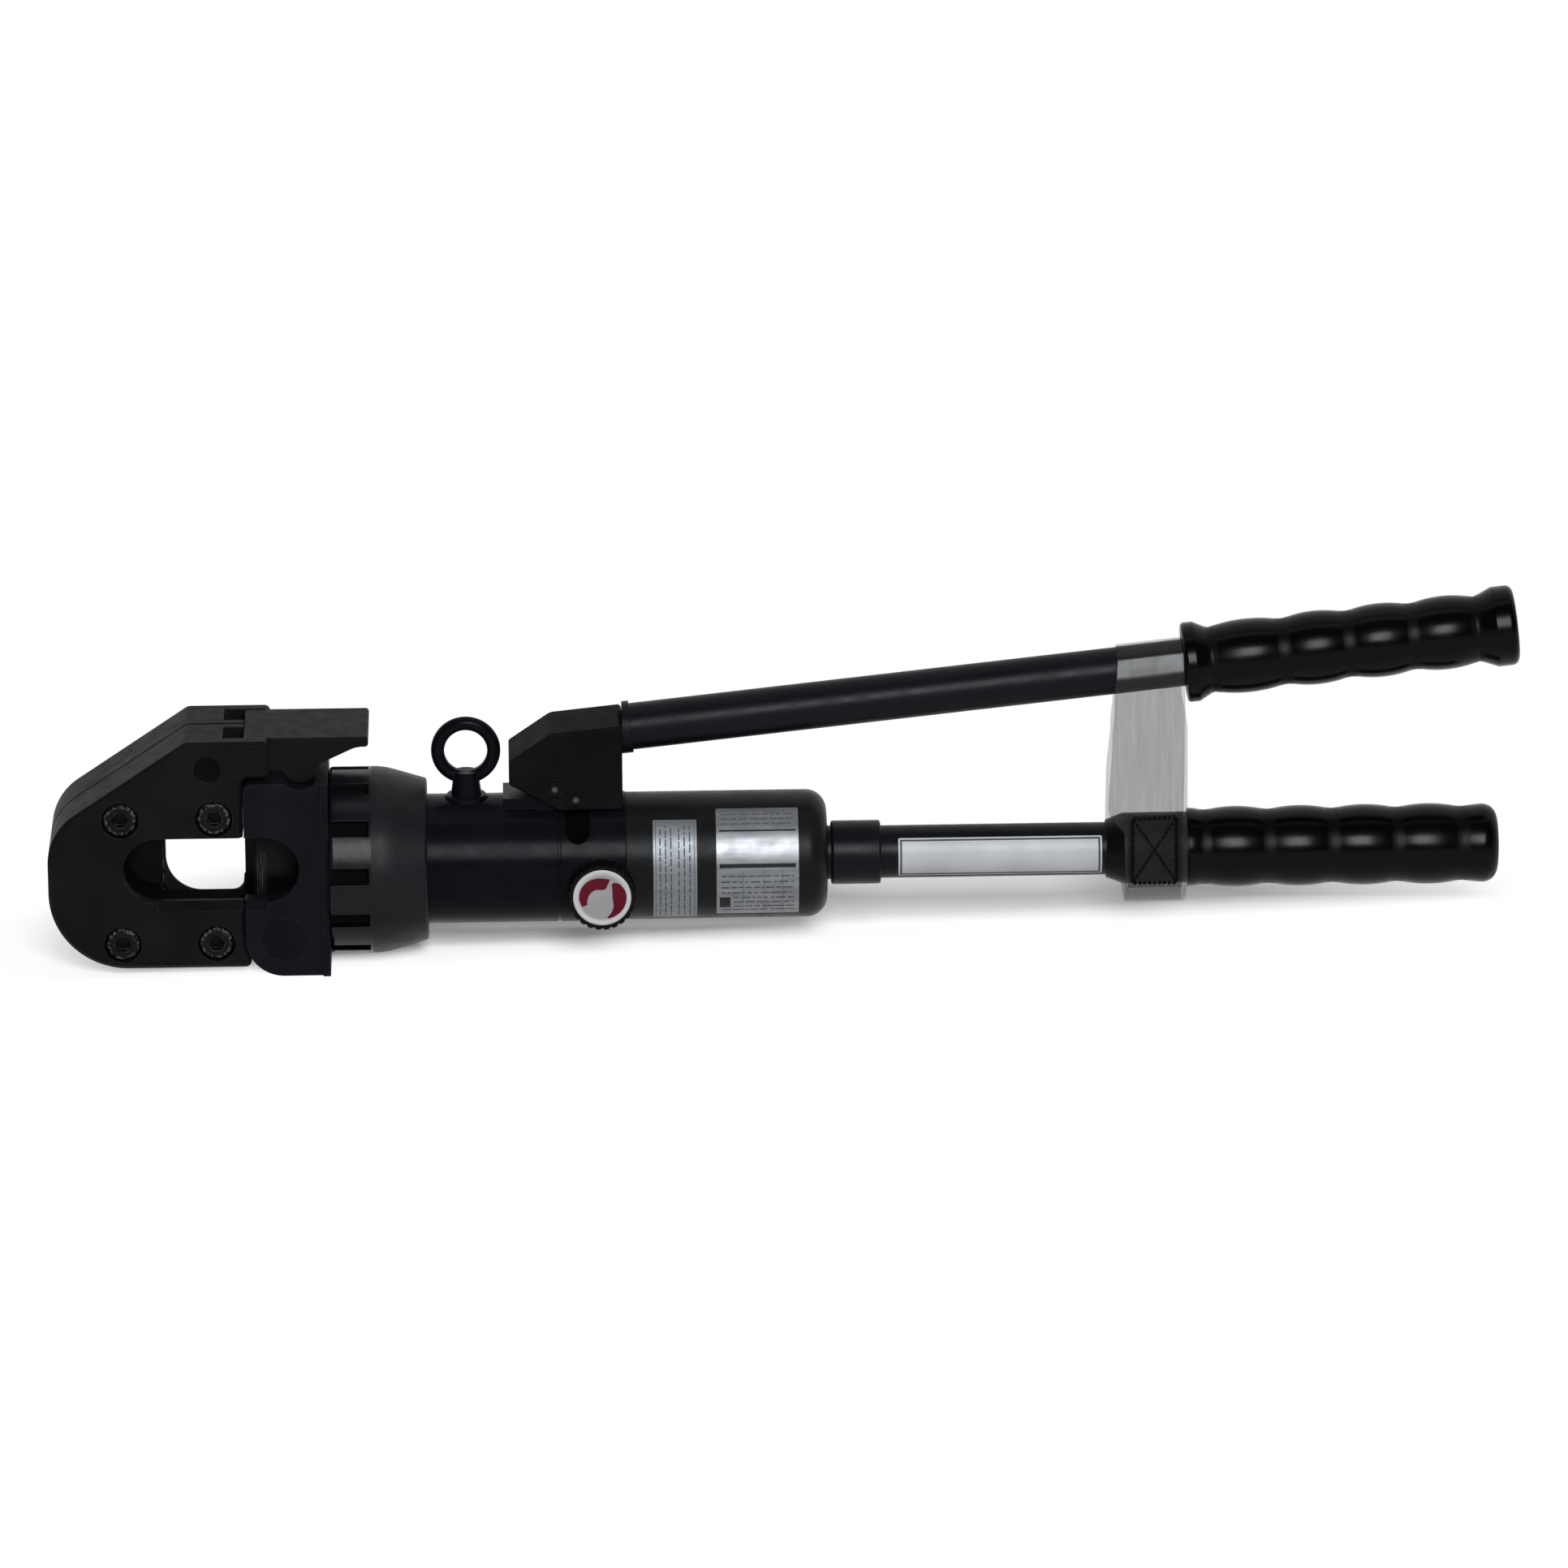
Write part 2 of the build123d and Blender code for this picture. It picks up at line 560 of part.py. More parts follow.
def rear_jaw_plate():
    jaw = jaw_blank(1)
    step_x = HEAD_RIGHT - REAR_SLOT_STEP
    step_z = -BLADE_TOP - FACE_GAP
    opening = rounded_outline([
        (FIXED_EDGE_X, WINDOW_TOP, REAR_SLOT_CORNER / 2),
        (HEAD_RIGHT + SWING_GAP, WINDOW_TOP, 0),
        (HEAD_RIGHT + SWING_GAP, step_z, 0),
        (step_x, step_z, 0),
        (step_x, REAR_SLOT_BOTTOM, REAR_SLOT_CORNER),
        (FIXED_EDGE_X, REAR_SLOT_BOTTOM, REAR_SLOT_RADIUS),
    ])
    jaw -= plate(opening, -FAR, FAR)
    pocket_x = (FIXED_EDGE_X - FIXED_BLADE_LENGTH - SEAT_GAP, FIXED_EDGE_X)
    half_height = FIXED_BLADE_HEIGHT / 2 + SEAT_GAP
    jaw -= block(pocket_x, (-SEAT_GAP, BLADE_THICKNESS + SEAT_GAP), (-half_height, half_height))
    for x, z in screw_places():
        jaw -= y_rod(SCREW_RADIUS + SEAT_GAP, x, z, -FAR, SCREW_SEAT_Y + SCREW_LENGTH + FACE_GAP)
    return jaw


def blade_blank(edge_x, back_x, edge_y, far_y, height):
    """Blade with one bevelled end; the cutting edge lies at edge_x on the side edge_y."""
    bevel_x = edge_x + (BLADE_BEVEL if back_x > edge_x else -BLADE_BEVEL)
    top_view = Polyline((edge_x, edge_y), (back_x, edge_y), (back_x, far_y), (bevel_x, far_y), close=True)
    return extrude(Plane.XY.offset(-height / 2) * make_face(top_view), amount=height)


def fixed_blade():
    back_x = FIXED_EDGE_X - FIXED_BLADE_LENGTH
    return blade_blank(FIXED_EDGE_X, back_x, 0, BLADE_THICKNESS, FIXED_BLADE_HEIGHT)


def jaw_screws():
    """Four socket head cap screws."""
    head_y = SCREW_SEAT_Y - SCREW_HEAD_HEIGHT
    screws = []
    for x, z in screw_places():
        screw = y_rod(SCREW_HEAD_RADIUS, x, z, head_y, SCREW_SEAT_Y)
        rim = screw.faces().sort_by(Axis.Y)[0].edges()
        screw = chamfer(rim, SCREW_HEAD_RADIUS / 10)
        screw += y_rod(SCREW_RADIUS, x, z, SCREW_SEAT_Y, SCREW_SEAT_Y + SCREW_LENGTH)
        key = Plane.XZ.offset(-head_y) * Pos(x, z) * RegularPolygon(SCREW_KEY / 2, 6, major_radius=False)
        screw -= extrude(key, amount=-SCREW_KEY_DEPTH)
        screws.append(screw)
    return Compound(children=[screw.solid() for screw in screws])


def latch_pin():
    half = HALF_THICKNESS - FACE_GAP
    return y_rod(LATCH_PIN_RADIUS, LATCH_PIN_X, LATCH_PIN_Z, -half, half)


def latch():
    """Thumb latch: bar with nose and tab, and two fingers that turn on the latch pin."""
    tab_bottom = LATCH_TOP - LATCH_TAB_THICKNESS
    width = (-LATCH_HALF_WIDTH, LATCH_HALF_WIDTH)
    bar = plate(rounded_outline([
        (LATCH_PIN_X, LATCH_BAR_BOTTOM, 0),
        (LATCH_PIN_X, LATCH_TOP, 0),
        (LATCH_END_X, LATCH_TOP, LATCH_ROUND),
        (LATCH_END_X, tab_bottom, LATCH_ROUND),
        (NOSE_X + NOSE_RADIUS + LATCH_BRACE, tab_bottom, LATCH_BRACE_ROUND),
        (NOSE_X + NOSE_RADIUS, NOSE_Z, 0),
        (NOSE_X, NOSE_Z, 0),
        (NOSE_X - NOSE_RADIUS, LATCH_BAR_BOTTOM, 0),
    ]), *width)
    bar -= y_rod(LATCH_ARC_RADIUS, LATCH_PIN_X, LATCH_PIN_Z, -FAR, FAR)
    bar += y_rod(NOSE_RADIUS, NOSE_X, NOSE_Z, *width)
    arm_z = (LATCH_PIN_Z - LATCH_ARM_LOW, LATCH_PIN_Z + LATCH_ARM_HIGH)
    for side in (-1, 1):
        span = sorted((side * (RIB_HALF + FACE_GAP), side * LATCH_HALF_WIDTH))
        bar += y_rod(LATCH_EYE_RADIUS, LATCH_PIN_X, LATCH_PIN_Z, *span)
        bar += block((LATCH_PIN_X, LATCH_PIN_X + LATCH_ARC_RADIUS + LATCH_ARM_LOW), span, arm_z)
    return bar - y_rod(LATCH_PIN_RADIUS + RUNNING_GAP, LATCH_PIN_X, LATCH_PIN_Z, -FAR, FAR)


def latch_spring():
    coil = coil_spring(LATCH_SPRING_RADIUS, LATCH_SPRING_WIRE, LATCH_SPRING_TURNS, LATCH_SPRING_WIDTH)
    return Pos(LATCH_PIN_X, LATCH_SPRING_WIDTH / 2, LATCH_PIN_Z) * Rot(90, 0, 0) * coil


# Window cuts shared by the head and the yoke

def window_slot(left, right):
    """Slot across the tool with a round left end."""
    slot = y_rod(WINDOW_RADIUS, left + WINDOW_RADIUS, WINDOW_MIDDLE, -FAR, FAR)
    return slot + block((left + WINDOW_RADIUS, right), (-FAR, FAR), (WINDOW_BOTTOM, WINDOW_TOP))


def window_chamfer(left, right):
    """Bevel along the lower front edge of the window."""
    front = -HALF_THICKNESS
    edge = Polyline(
        (front - WINDOW_CHAMFER, WINDOW_BOTTOM - 2 * WINDOW_CHAMFER),
        (front + WINDOW_CHAMFER, WINDOW_BOTTOM),
        (front - WINDOW_CHAMFER, WINDOW_BOTTOM),
        close=True,
    )
    return extrude(Plane.YZ.offset(left) * make_face(edge), amount=right - left)


# Yoke and cylinder

def yoke():
    """Clevis with two cheeks, a bridge with the latch seat, and a threaded spigot."""
    width = (-HALF_THICKNESS, HALF_THICKNESS)
    body = plate(rounded_outline([
        (CHEEK_LEFT, YOKE_TOP, YOKE_ROUND),
        (YOKE_RIGHT, YOKE_TOP, 0),
        (YOKE_RIGHT, YOKE_BOTTOM, 0),
        (CHEEK_LEFT, YOKE_BOTTOM, CHEEK_RADIUS),
    ]), *width)
    flange_half = HALF_THICKNESS + YOKE_FLANGE_RISE
    flange_x = (YOKE_RIGHT - YOKE_FLANGE, YOKE_RIGHT)
    body += block(flange_x, (-flange_half, flange_half), (YOKE_BOTTOM, YOKE_TOP))
    body += x_rod(SPIGOT_RADIUS, YOKE_RIGHT, SPIGOT_RIGHT)
    gap = (-CLEVIS_HALF_GAP, CLEVIS_HALF_GAP)
    body -= block((-FAR, CLEVIS_BACK), gap, (-FAR, BRIDGE_BOTTOM))
    body -= block((-FAR, BRIDGE_LEFT), gap, (-FAR, FAR))
    slot_end = CHEEK_SLOT_RIGHT - WINDOW_RADIUS
    body -= block((-FAR, slot_end), (-FAR, FAR), (WINDOW_BOTTOM, WINDOW_TOP))
    body -= y_rod(WINDOW_RADIUS, slot_end, WINDOW_MIDDLE, -FAR, FAR)
    body -= window_chamfer(CHEEK_LEFT - SWING_GAP, slot_end)
    body -= y_rod(NOSE_RADIUS + NOSE_GAP, NOSE_X, NOSE_Z, -FAR, FAR)
    body -= y_rod(HINGE_PIN_RADIUS + RUNNING_GAP, HINGE_X, HINGE_Z, -FAR, FAR)
    body -= y_rod(HINGE_HEAD_RADIUS + SEAT_GAP, HINGE_X, HINGE_Z, -FAR, HINGE_SEAT_Y)
    body -= x_rod(ROD_RADIUS + SWING_GAP, CLEVIS_BACK - SWING_GAP, SPIGOT_RIGHT + SWING_GAP)
    return body - x_rod(BUSH_RADIUS + RUNNING_GAP, SPIGOT_RIGHT - BUSH_LENGTH, SPIGOT_RIGHT + SWING_GAP)


def hinge_pin():
    """Headed pin across the yoke's cheeks, with a groove for its retaining ring."""
    end_y = HALF_THICKNESS + 2 * CLIP_THICKNESS + PIN_STUB
    pin = y_rod(HINGE_PIN_RADIUS, HINGE_X, HINGE_Z, HINGE_SEAT_Y, end_y)
    pin += y_rod(HINGE_HEAD_RADIUS, HINGE_X, HINGE_Z, HINGE_SEAT_Y - HINGE_HEAD_HEIGHT, HINGE_SEAT_Y)
    ring_y = (HALF_THICKNESS + SEAT_GAP, HALF_THICKNESS + SEAT_GAP + 2 * CLIP_THICKNESS)
    groove = y_rod(FAR, HINGE_X, HINGE_Z, *ring_y) - y_rod(HINGE_RING_BORE, HINGE_X, HINGE_Z, *ring_y)
    return pin - groove


def hinge_circlip():
    """Retaining ring on the rear end of the hinge pin."""
    y_start = HALF_THICKNESS + 2 * SEAT_GAP
    y_end = HALF_THICKNESS + 2 * CLIP_THICKNESS
    ring = y_rod(HINGE_HEAD_RADIUS, HINGE_X, HINGE_Z, y_start, y_end)
    ring -= y_rod(HINGE_RING_BORE + RUNNING_GAP, HINGE_X, HINGE_Z, y_start, y_end)
    gap_x = (HINGE_X - HINGE_PIN_RADIUS / 3, HINGE_X + HINGE_PIN_RADIUS / 3)
    return ring - block(gap_x, (y_start, y_end), (HINGE_Z, HINGE_Z + 2 * HINGE_HEAD_RADIUS))


def rod_bush():
    bush = x_rod(BUSH_RADIUS, SPIGOT_RIGHT - BUSH_LENGTH + SEAT_GAP, SPIGOT_RIGHT)
    return bush - x_rod(ROD_RADIUS + RUNNING_GAP, -FAR, FAR)


def collar_nut():
    """Ring nut that draws the pump body's flange against the yoke."""
    thread = SPIGOT_RADIUS + SEAT_GAP
    lip_x = COLLAR_RIGHT - COLLAR_LIP
    lip_bore = BODY_RADIUS + SEAT_GAP
    nut = turned([
        (COLLAR_LEFT, thread, 0),
        (COLLAR_LEFT, COLLAR_RADIUS, COLLAR_ROUND),
        (COLLAR_RIGHT - COLLAR_TAPER_LENGTH, COLLAR_RADIUS, COLLAR_TAPER_RADIUS),
        (COLLAR_RIGHT, COLLAR_END_RADIUS, COLLAR_ROUND),
        (COLLAR_RIGHT, lip_bore, 0),
        (lip_x, lip_bore, 0),
        (lip_x, thread, 0),
    ])
    slot_z = (-SPANNER_WIDTH / 2, SPANNER_WIDTH / 2)
    slot_y = (-2 * COLLAR_RADIUS, SPANNER_DEPTH - COLLAR_RADIUS)
    slot = block((COLLAR_LEFT - SPANNER_DEPTH, COLLAR_LEFT + SPANNER_LENGTH), slot_y, slot_z)
    for index in range(SPANNER_SLOTS):
        turn = SPANNER_TURN + index * 360 / SPANNER_SLOTS
        nut -= Rot(-turn, 0, 0) * slot
    return nut


def ear(side):
    """One ear of the fulcrum clevis on top of the pump body."""
    outer = CHANNEL_HALF - SWING_GAP
    span = sorted((side * (outer - EAR_THICKNESS), side * outer))
    profile = Polyline(
        (FULCRUM_X - EAR_FOOT_FRONT, PUMP_FLOOR),
        (FULCRUM_X + EAR_FOOT_BACK, PUMP_FLOOR),
        (FULCRUM_X + EAR_RADIUS, FULCRUM_Z),
        (FULCRUM_X - EAR_RADIUS, FULCRUM_Z),
        close=True,
    )
    lug = plate(make_face(profile), *span) + y_rod(EAR_RADIUS, FULCRUM_X, FULCRUM_Z, *span)
    return lug - y_rod(FULCRUM_PIN_RADIUS + RUNNING_GAP, FULCRUM_X, FULCRUM_Z, -FAR, FAR)


def pump_body():
    """Cylinder and valve block in one piece, with the bores of the pump and its valves."""
    flange_x = COLLAR_RIGHT - COLLAR_LIP - SEAT_GAP
    body = turned([
        (BODY_LEFT, BORE_RADIUS, 0),
        (BODY_LEFT, SPIGOT_RADIUS - SEAT_GAP, 0),
        (flange_x, SPIGOT_RADIUS - SEAT_GAP, 0),
        (flange_x, BODY_RADIUS, 0),
        (BODY_RIGHT, BODY_RADIUS, 0),
        (BODY_RIGHT, BODY_SPIGOT_RADIUS, 0),
        (SPIGOT_END, BODY_SPIGOT_RADIUS, 0),
        (SPIGOT_END, 0, 0),
        (BORE_END, 0, 0),
        (BORE_END, BORE_RADIUS, 0),
    ])
    groove_middle = FULCRUM_X + GROOVE_SETBACK
    groove_x = (groove_middle - GROOVE_WIDTH / 2, groove_middle + GROOVE_WIDTH / 2)
    body -= x_rod(FAR, *groove_x) - x_rod(BODY_RADIUS - GROOVE_DEPTH, *groove_x)
    body -= seal_groove()
    body -= z_rod(EYE_FOOT_RADIUS + FACE_GAP, EYE_BOLT_X, 0, EYE_SEAT_Z, FAR)
    body -= z_rod(EYE_THREAD_RADIUS + SEAT_GAP, EYE_BOLT_X, 0, EYE_SEAT_Z - EYE_THREAD_LENGTH - SEAT_GAP, FAR)
    pocket_x = (PLUNGER_X - PUMP_POCKET_HALF, PLUNGER_X + PUMP_POCKET_HALF)
    body -= block(pocket_x, (-FAR, FAR), (PUMP_FLOOR, FAR))
    body -= front_groove()
    body += ear(-1) + ear(1)
    stop_x = (FULCRUM_X - STOP_FRONT, FULCRUM_X - STOP_BACK)
    body += block(stop_x, (-STOP_HALF_WIDTH, STOP_HALF_WIDTH), (PUMP_FLOOR, BODY_RADIUS + STOP_RISE))
    return body - pump_bores() - valve_bores()


def front_groove():
    """Round-ended groove milled into the front of the pump body below the drive pin."""
    depth_y = (-FAR, PUMP_GROOVE_DEPTH - BODY_RADIUS)
    round_z = BODY_RADIUS - PUMP_GROOVE_HEIGHT + PUMP_GROOVE_HALF
    groove_x = (PLUNGER_X - PUMP_GROOVE_HALF, PLUNGER_X + PUMP_GROOVE_HALF)
    return block(groove_x, depth_y, (round_z, FAR)) + y_rod(PUMP_GROOVE_HALF, PLUNGER_X, round_z, *depth_y)


def pump_bores():
    """Gland thread, seal seat and pumping chamber below the plunger."""
    seal_bottom = GLAND_BOTTOM - PLUNGER_SEAL_HEIGHT
    bores = z_rod(GLAND_RADIUS + SEAT_GAP, PLUNGER_X, 0, seal_bottom, PUMP_FLOOR + FACE_GAP)
    return bores + z_rod(PLUNGER_RADIUS + RUNNING_GAP, PLUNGER_X, 0, CHAMBER_BOTTOM, GLAND_BOTTOM)


def valve_bores():
    """Delivery, suction, relief and release passages of the valve block."""
    bore = VALVE_BORE + SEAT_GAP
    cuts = x_rod(bore, BORE_END - SEAT_GAP, DELIVERY_SEAT_X, 0, VALVE_Z)
    cuts += x_rod(VALVE_PORT, DELIVERY_SEAT_X, SUCTION_SHOULDER_X, 0, VALVE_Z)
    cuts += x_rod(bore, SUCTION_SHOULDER_X, SPIGOT_END + SEAT_GAP, 0, VALVE_Z)
    cuts += y_rod(VALVE_PORT, PLUNGER_X, VALVE_Z, 0, RELIEF_SEAT_Y)
    cuts += y_rod(RELIEF_BORE + SEAT_GAP, PLUNGER_X, VALVE_Z, RELIEF_SEAT_Y, FAR)
    cuts += y_rod(VALVE_PORT, RELEASE_X, RELEASE_Z, STEM_TIP_Y, 0)
    return cuts + y_rod(STEM_RADIUS + RUNNING_GAP, RELEASE_X, RELEASE_Z, -FAR, STEM_TIP_Y)


def eye_bolt():
    """Forged lifting eye with a round foot and a short thread."""
    foot_top = EYE_SEAT_Z + EYE_FOOT_HEIGHT
    neck_top = EYE_BOLT_Z - EYE_BORE_RADIUS
    bolt = z_rod(EYE_FOOT_RADIUS, EYE_BOLT_X, 0, EYE_SEAT_Z, foot_top)
    bolt = chamfer(bolt.faces().sort_by(Axis.Z)[-1].edges(), EYE_FOOT_HEIGHT / 3)
    bolt += z_rod(EYE_THREAD_RADIUS, EYE_BOLT_X, 0, EYE_SEAT_Z - EYE_THREAD_LENGTH, EYE_SEAT_Z)
    neck = Cone(EYE_NECK_RADIUS, EYE_NECK_TOP_RADIUS, neck_top - foot_top)
    bolt += Pos(EYE_BOLT_X, 0, (neck_top + foot_top) / 2) * neck
    bolt += Pos(EYE_BOLT_X, 0, EYE_BOLT_Z) * Rot(90, 0, 0) * Torus(EYE_RING_RADIUS, EYE_WIRE_RADIUS)
    return bolt - y_rod(EYE_BORE_RADIUS, EYE_BOLT_X, EYE_BOLT_Z, -FAR, FAR)


# Ram and moving blade

def ram():
    """Piston and rod, with a slotted nose for the moving blade."""
    body = x_rod(ROD_RADIUS, RAM_NOSE_X, PISTON_LEFT)
    body = chamfer(body.faces().sort_by(Axis.X)[0].edges(), ROD_RADIUS / 12)
    body += x_rod(BORE_RADIUS - RUNNING_GAP, PISTON_LEFT, PISTON_RIGHT)
    seal_x = (SEAL_LEFT, SEAL_LEFT + SEAL_WIDTH)
    body -= x_rod(FAR, *seal_x) - x_rod(BORE_RADIUS - SEAL_DEPTH, *seal_x)
    slot_y = (BLADE_FRONT_Y - RUNNING_GAP, BLADE_BACK_Y + RUNNING_GAP)
    body -= block((-FAR, TANG_RIGHT + SEAT_GAP), slot_y, (-FAR, FAR))
    return body - y_rod(BLADE_PIN_RADIUS + RUNNING_GAP, BLADE_PIN_X, 0, -FAR, FAR)


def piston_seal():
    span = (SEAL_LEFT + RUNNING_GAP, SEAL_LEFT + SEAL_WIDTH - RUNNING_GAP)
    ring = x_rod(BORE_RADIUS - RUNNING_GAP, *span)
    return ring - x_rod(BORE_RADIUS - SEAL_DEPTH + RUNNING_GAP, *span)


def return_spring():
    """Spring round the rod that draws the ram back; it reaches from the yoke to the piston."""
    coil = coil_spring((ROD_RADIUS + BORE_RADIUS) / 2, RETURN_WIRE, RETURN_TURNS, SPRING_SPACE - 2 * SEAT_GAP)
    return Pos(SPIGOT_RIGHT + SEAT_GAP, 0, 0) * Rot(0, 90, 0) * coil


def moving_blade():
    """Bevelled blade with a tang that is pinned in the ram's nose."""
    back_x = MOVING_EDGE_X + BLADE_LENGTH
    blade = blade_blank(MOVING_EDGE_X, back_x, BLADE_BACK_Y, BLADE_FRONT_Y, BLADE_HEIGHT)
    tang_z = (-TANG_HEIGHT / 2, TANG_HEIGHT / 2)
    blade += block((back_x - BLADE_BEVEL, TANG_RIGHT), (BLADE_FRONT_Y, BLADE_BACK_Y), tang_z)
    return blade - y_rod(BLADE_PIN_RADIUS + RUNNING_GAP, BLADE_PIN_X, 0, -FAR, FAR)


def blade_pin():
    half = sqrt(ROD_RADIUS ** 2 - BLADE_PIN_RADIUS ** 2) - FACE_GAP
    return y_rod(BLADE_PIN_RADIUS, BLADE_PIN_X, 0, -half, half)


# Pump, valves and release

def pump_plunger():
    """Plunger with a slotted eye for the drive pin."""
    slot_radius = DRIVE_PIN_RADIUS + FACE_GAP
    slot_half = DRIVE_SHIFT / 2
    eye_half = slot_half + slot_radius + PLUNGER_EYE_WALL
    eye_height = slot_radius + PLUNGER_EYE_WALL
    eye_y = (-PLUNGER_EYE_HALF_WIDTH, PLUNGER_EYE_HALF_WIDTH)
    eye_z = (DRIVE_Z - eye_height, DRIVE_Z + eye_height)
    plunger = block((PLUNGER_X - eye_half, PLUNGER_X + eye_half), eye_y, eye_z)
    plunger += z_rod(PLUNGER_RADIUS, PLUNGER_X, 0, PLUNGER_BOTTOM, DRIVE_Z - slot_radius)
    slot_x = (PLUNGER_X - slot_half, PLUNGER_X + slot_half)
    slot = block(slot_x, eye_y, (DRIVE_Z - slot_radius, DRIVE_Z + slot_radius))
    for end_x in slot_x:
        slot += y_rod(slot_radius, end_x, DRIVE_Z, *eye_y)
    return plunger - slot


def plunger_gland():
    gland = z_rod(GLAND_RADIUS, PLUNGER_X, 0, GLAND_BOTTOM, PUMP_FLOOR)
    return gland - z_rod(PLUNGER_RADIUS + RUNNING_GAP, PLUNGER_X, 0, GLAND_BOTTOM, PUMP_FLOOR)


def plunger_seal():
    span = (GLAND_BOTTOM - PLUNGER_SEAL_HEIGHT + RUNNING_GAP, GLAND_BOTTOM - RUNNING_GAP)
    return z_rod(GLAND_RADIUS, PLUNGER_X, 0, *span) - z_rod(PLUNGER_RADIUS + RUNNING_GAP, PLUNGER_X, 0, *span)


def check_balls():
    """Delivery ball and suction ball, each on the rim of its port."""
    return Compound(children=[Pos(x, 0, VALVE_Z) * Sphere(BALL_RADIUS).solid() for x in BALL_PLACES])


def check_plugs():
    """Drilled plugs that close the delivery and suction bores."""
    plugs = []
    for x_start, x_end in (DELIVERY_PLUG, SUCTION_PLUG):
        plug = x_rod(VALVE_BORE, x_start, x_end, 0, VALVE_Z)
        plugs.append(plug - x_rod(VALVE_PORT, x_start, x_end, 0, VALVE_Z))
    return Compound(children=[plug.solid() for plug in plugs])


def check_springs():
    """Light springs that press the balls on their seats."""
    spans = (
        (DELIVERY_PLUG[1] + SEAT_GAP, BALL_PLACES[0] - BALL_SPRING_REST),
        (SUCTION_SHOULDER_X + SEAT_GAP, BALL_PLACES[1] - BALL_SPRING_REST),
    )
    coils = []
    for x_start, x_end in spans:
        coil = coil_spring(CHECK_SPRING_RADIUS, CHECK_WIRE, CHECK_TURNS, x_end - x_start)
        coils.append(Pos(x_start, 0, VALVE_Z) * Rot(0, 90, 0) * coil)
    return Compound(children=[coil.solid() for coil in coils])


def relief_poppet():
    centre_y = RELIEF_SEAT_Y + BALL_REST
    poppet = Pos(PLUNGER_X, centre_y, VALVE_Z) * Sphere(BALL_RADIUS)
    return poppet + y_rod(BALL_RADIUS, PLUNGER_X, VALVE_Z, centre_y, RELIEF_SEAT_Y + RELIEF_POPPET)


def relief_spring():
    start = RELIEF_SEAT_Y + RELIEF_POPPET + SEAT_GAP
    coil = coil_spring(CHECK_SPRING_RADIUS, CHECK_WIRE, CHECK_TURNS, RELIEF_SCREW_Y - SEAT_GAP - start)
    return Pos(PLUNGER_X, start, VALVE_Z) * Rot(-90, 0, 0) * coil


def relief_screw():
    """Adjusting screw of the relief valve, slotted, on the rear side."""
    end_y = BODY_RADIUS - RELIEF_SINK
    screw = y_rod(RELIEF_BORE, PLUNGER_X, VALVE_Z, RELIEF_SCREW_Y, end_y)
    slot_x = (PLUNGER_X - RELIEF_BORE / 6, PLUNGER_X + RELIEF_BORE / 6)
    return screw - block(slot_x, (end_y - RELIEF_SINK, FAR), (VALVE_Z - FAR, VALVE_Z + FAR))


def release_stem():
    """Valve spindle with a pointed tip, from its seat to the knob."""
    stem = y_rod(STEM_RADIUS, RELEASE_X, RELEASE_Z, STEM_END_Y, STEM_TIP_Y - STEM_RADIUS)
    tip = Cone(STEM_RADIUS, VALVE_PORT, STEM_RADIUS - STEM_TIP_GAP)
    tip_y = STEM_TIP_Y - (STEM_RADIUS + STEM_TIP_GAP) / 2
    return stem + Pos(RELEASE_X, tip_y, RELEASE_Z) * Rot(-90, 0, 0) * tip


def release_knob():
    """Fluted knob on the front of the valve block."""
    knob = y_rod(KNOB_RADIUS, RELEASE_X, RELEASE_Z, KNOB_FRONT_Y, KNOB_BACK_Y)
    knob = chamfer(knob.faces().sort_by(Axis.Y)[-1].edges(), KNOB_FLUTE_RADIUS)
    flute = y_rod(KNOB_FLUTE_RADIUS, 0, KNOB_RADIUS + KNOB_FLUTE_RADIUS / 3, KNOB_FRONT_Y, KNOB_BACK_Y)
    for index in range(KNOB_FLUTES):
        knob -= Pos(RELEASE_X, 0, RELEASE_Z) * Rot(0, index * 360 / KNOB_FLUTES, 0) * flute
    label_seat_y = KNOB_FRONT_Y + KNOB_LABEL_THICKNESS
    knob -= y_rod(KNOB_LABEL_RADIUS + RUNNING_GAP, RELEASE_X, RELEASE_Z, -FAR, label_seat_y)
    return knob - y_rod(STEM_RADIUS + RUNNING_GAP, RELEASE_X, RELEASE_Z, STEM_END_Y - SEAT_GAP, FAR)


def knob_label():
    return y_rod(KNOB_LABEL_RADIUS, RELEASE_X, RELEASE_Z, KNOB_FRONT_Y, KNOB_FRONT_Y + KNOB_LABEL_THICKNESS)


# Reservoir and lower handle

def seal_groove():
    """Groove for the seal ring round the pump body's rear spigot."""
    bottom = RESERVOIR_BORE - 2 * RING_SECTION
    return x_rod(FAR, *SEAL_RING_SPAN) - x_rod(bottom, *SEAL_RING_SPAN)


def reservoir_seal():
    span = (SEAL_RING_SPAN[0] + RUNNING_GAP, SEAL_RING_SPAN[1] - RUNNING_GAP)
    ring = x_rod(RESERVOIR_BORE - RUNNING_GAP, *span)
    return ring - x_rod(RESERVOIR_BORE - 2 * RING_SECTION + RUNNING_GAP, *span)


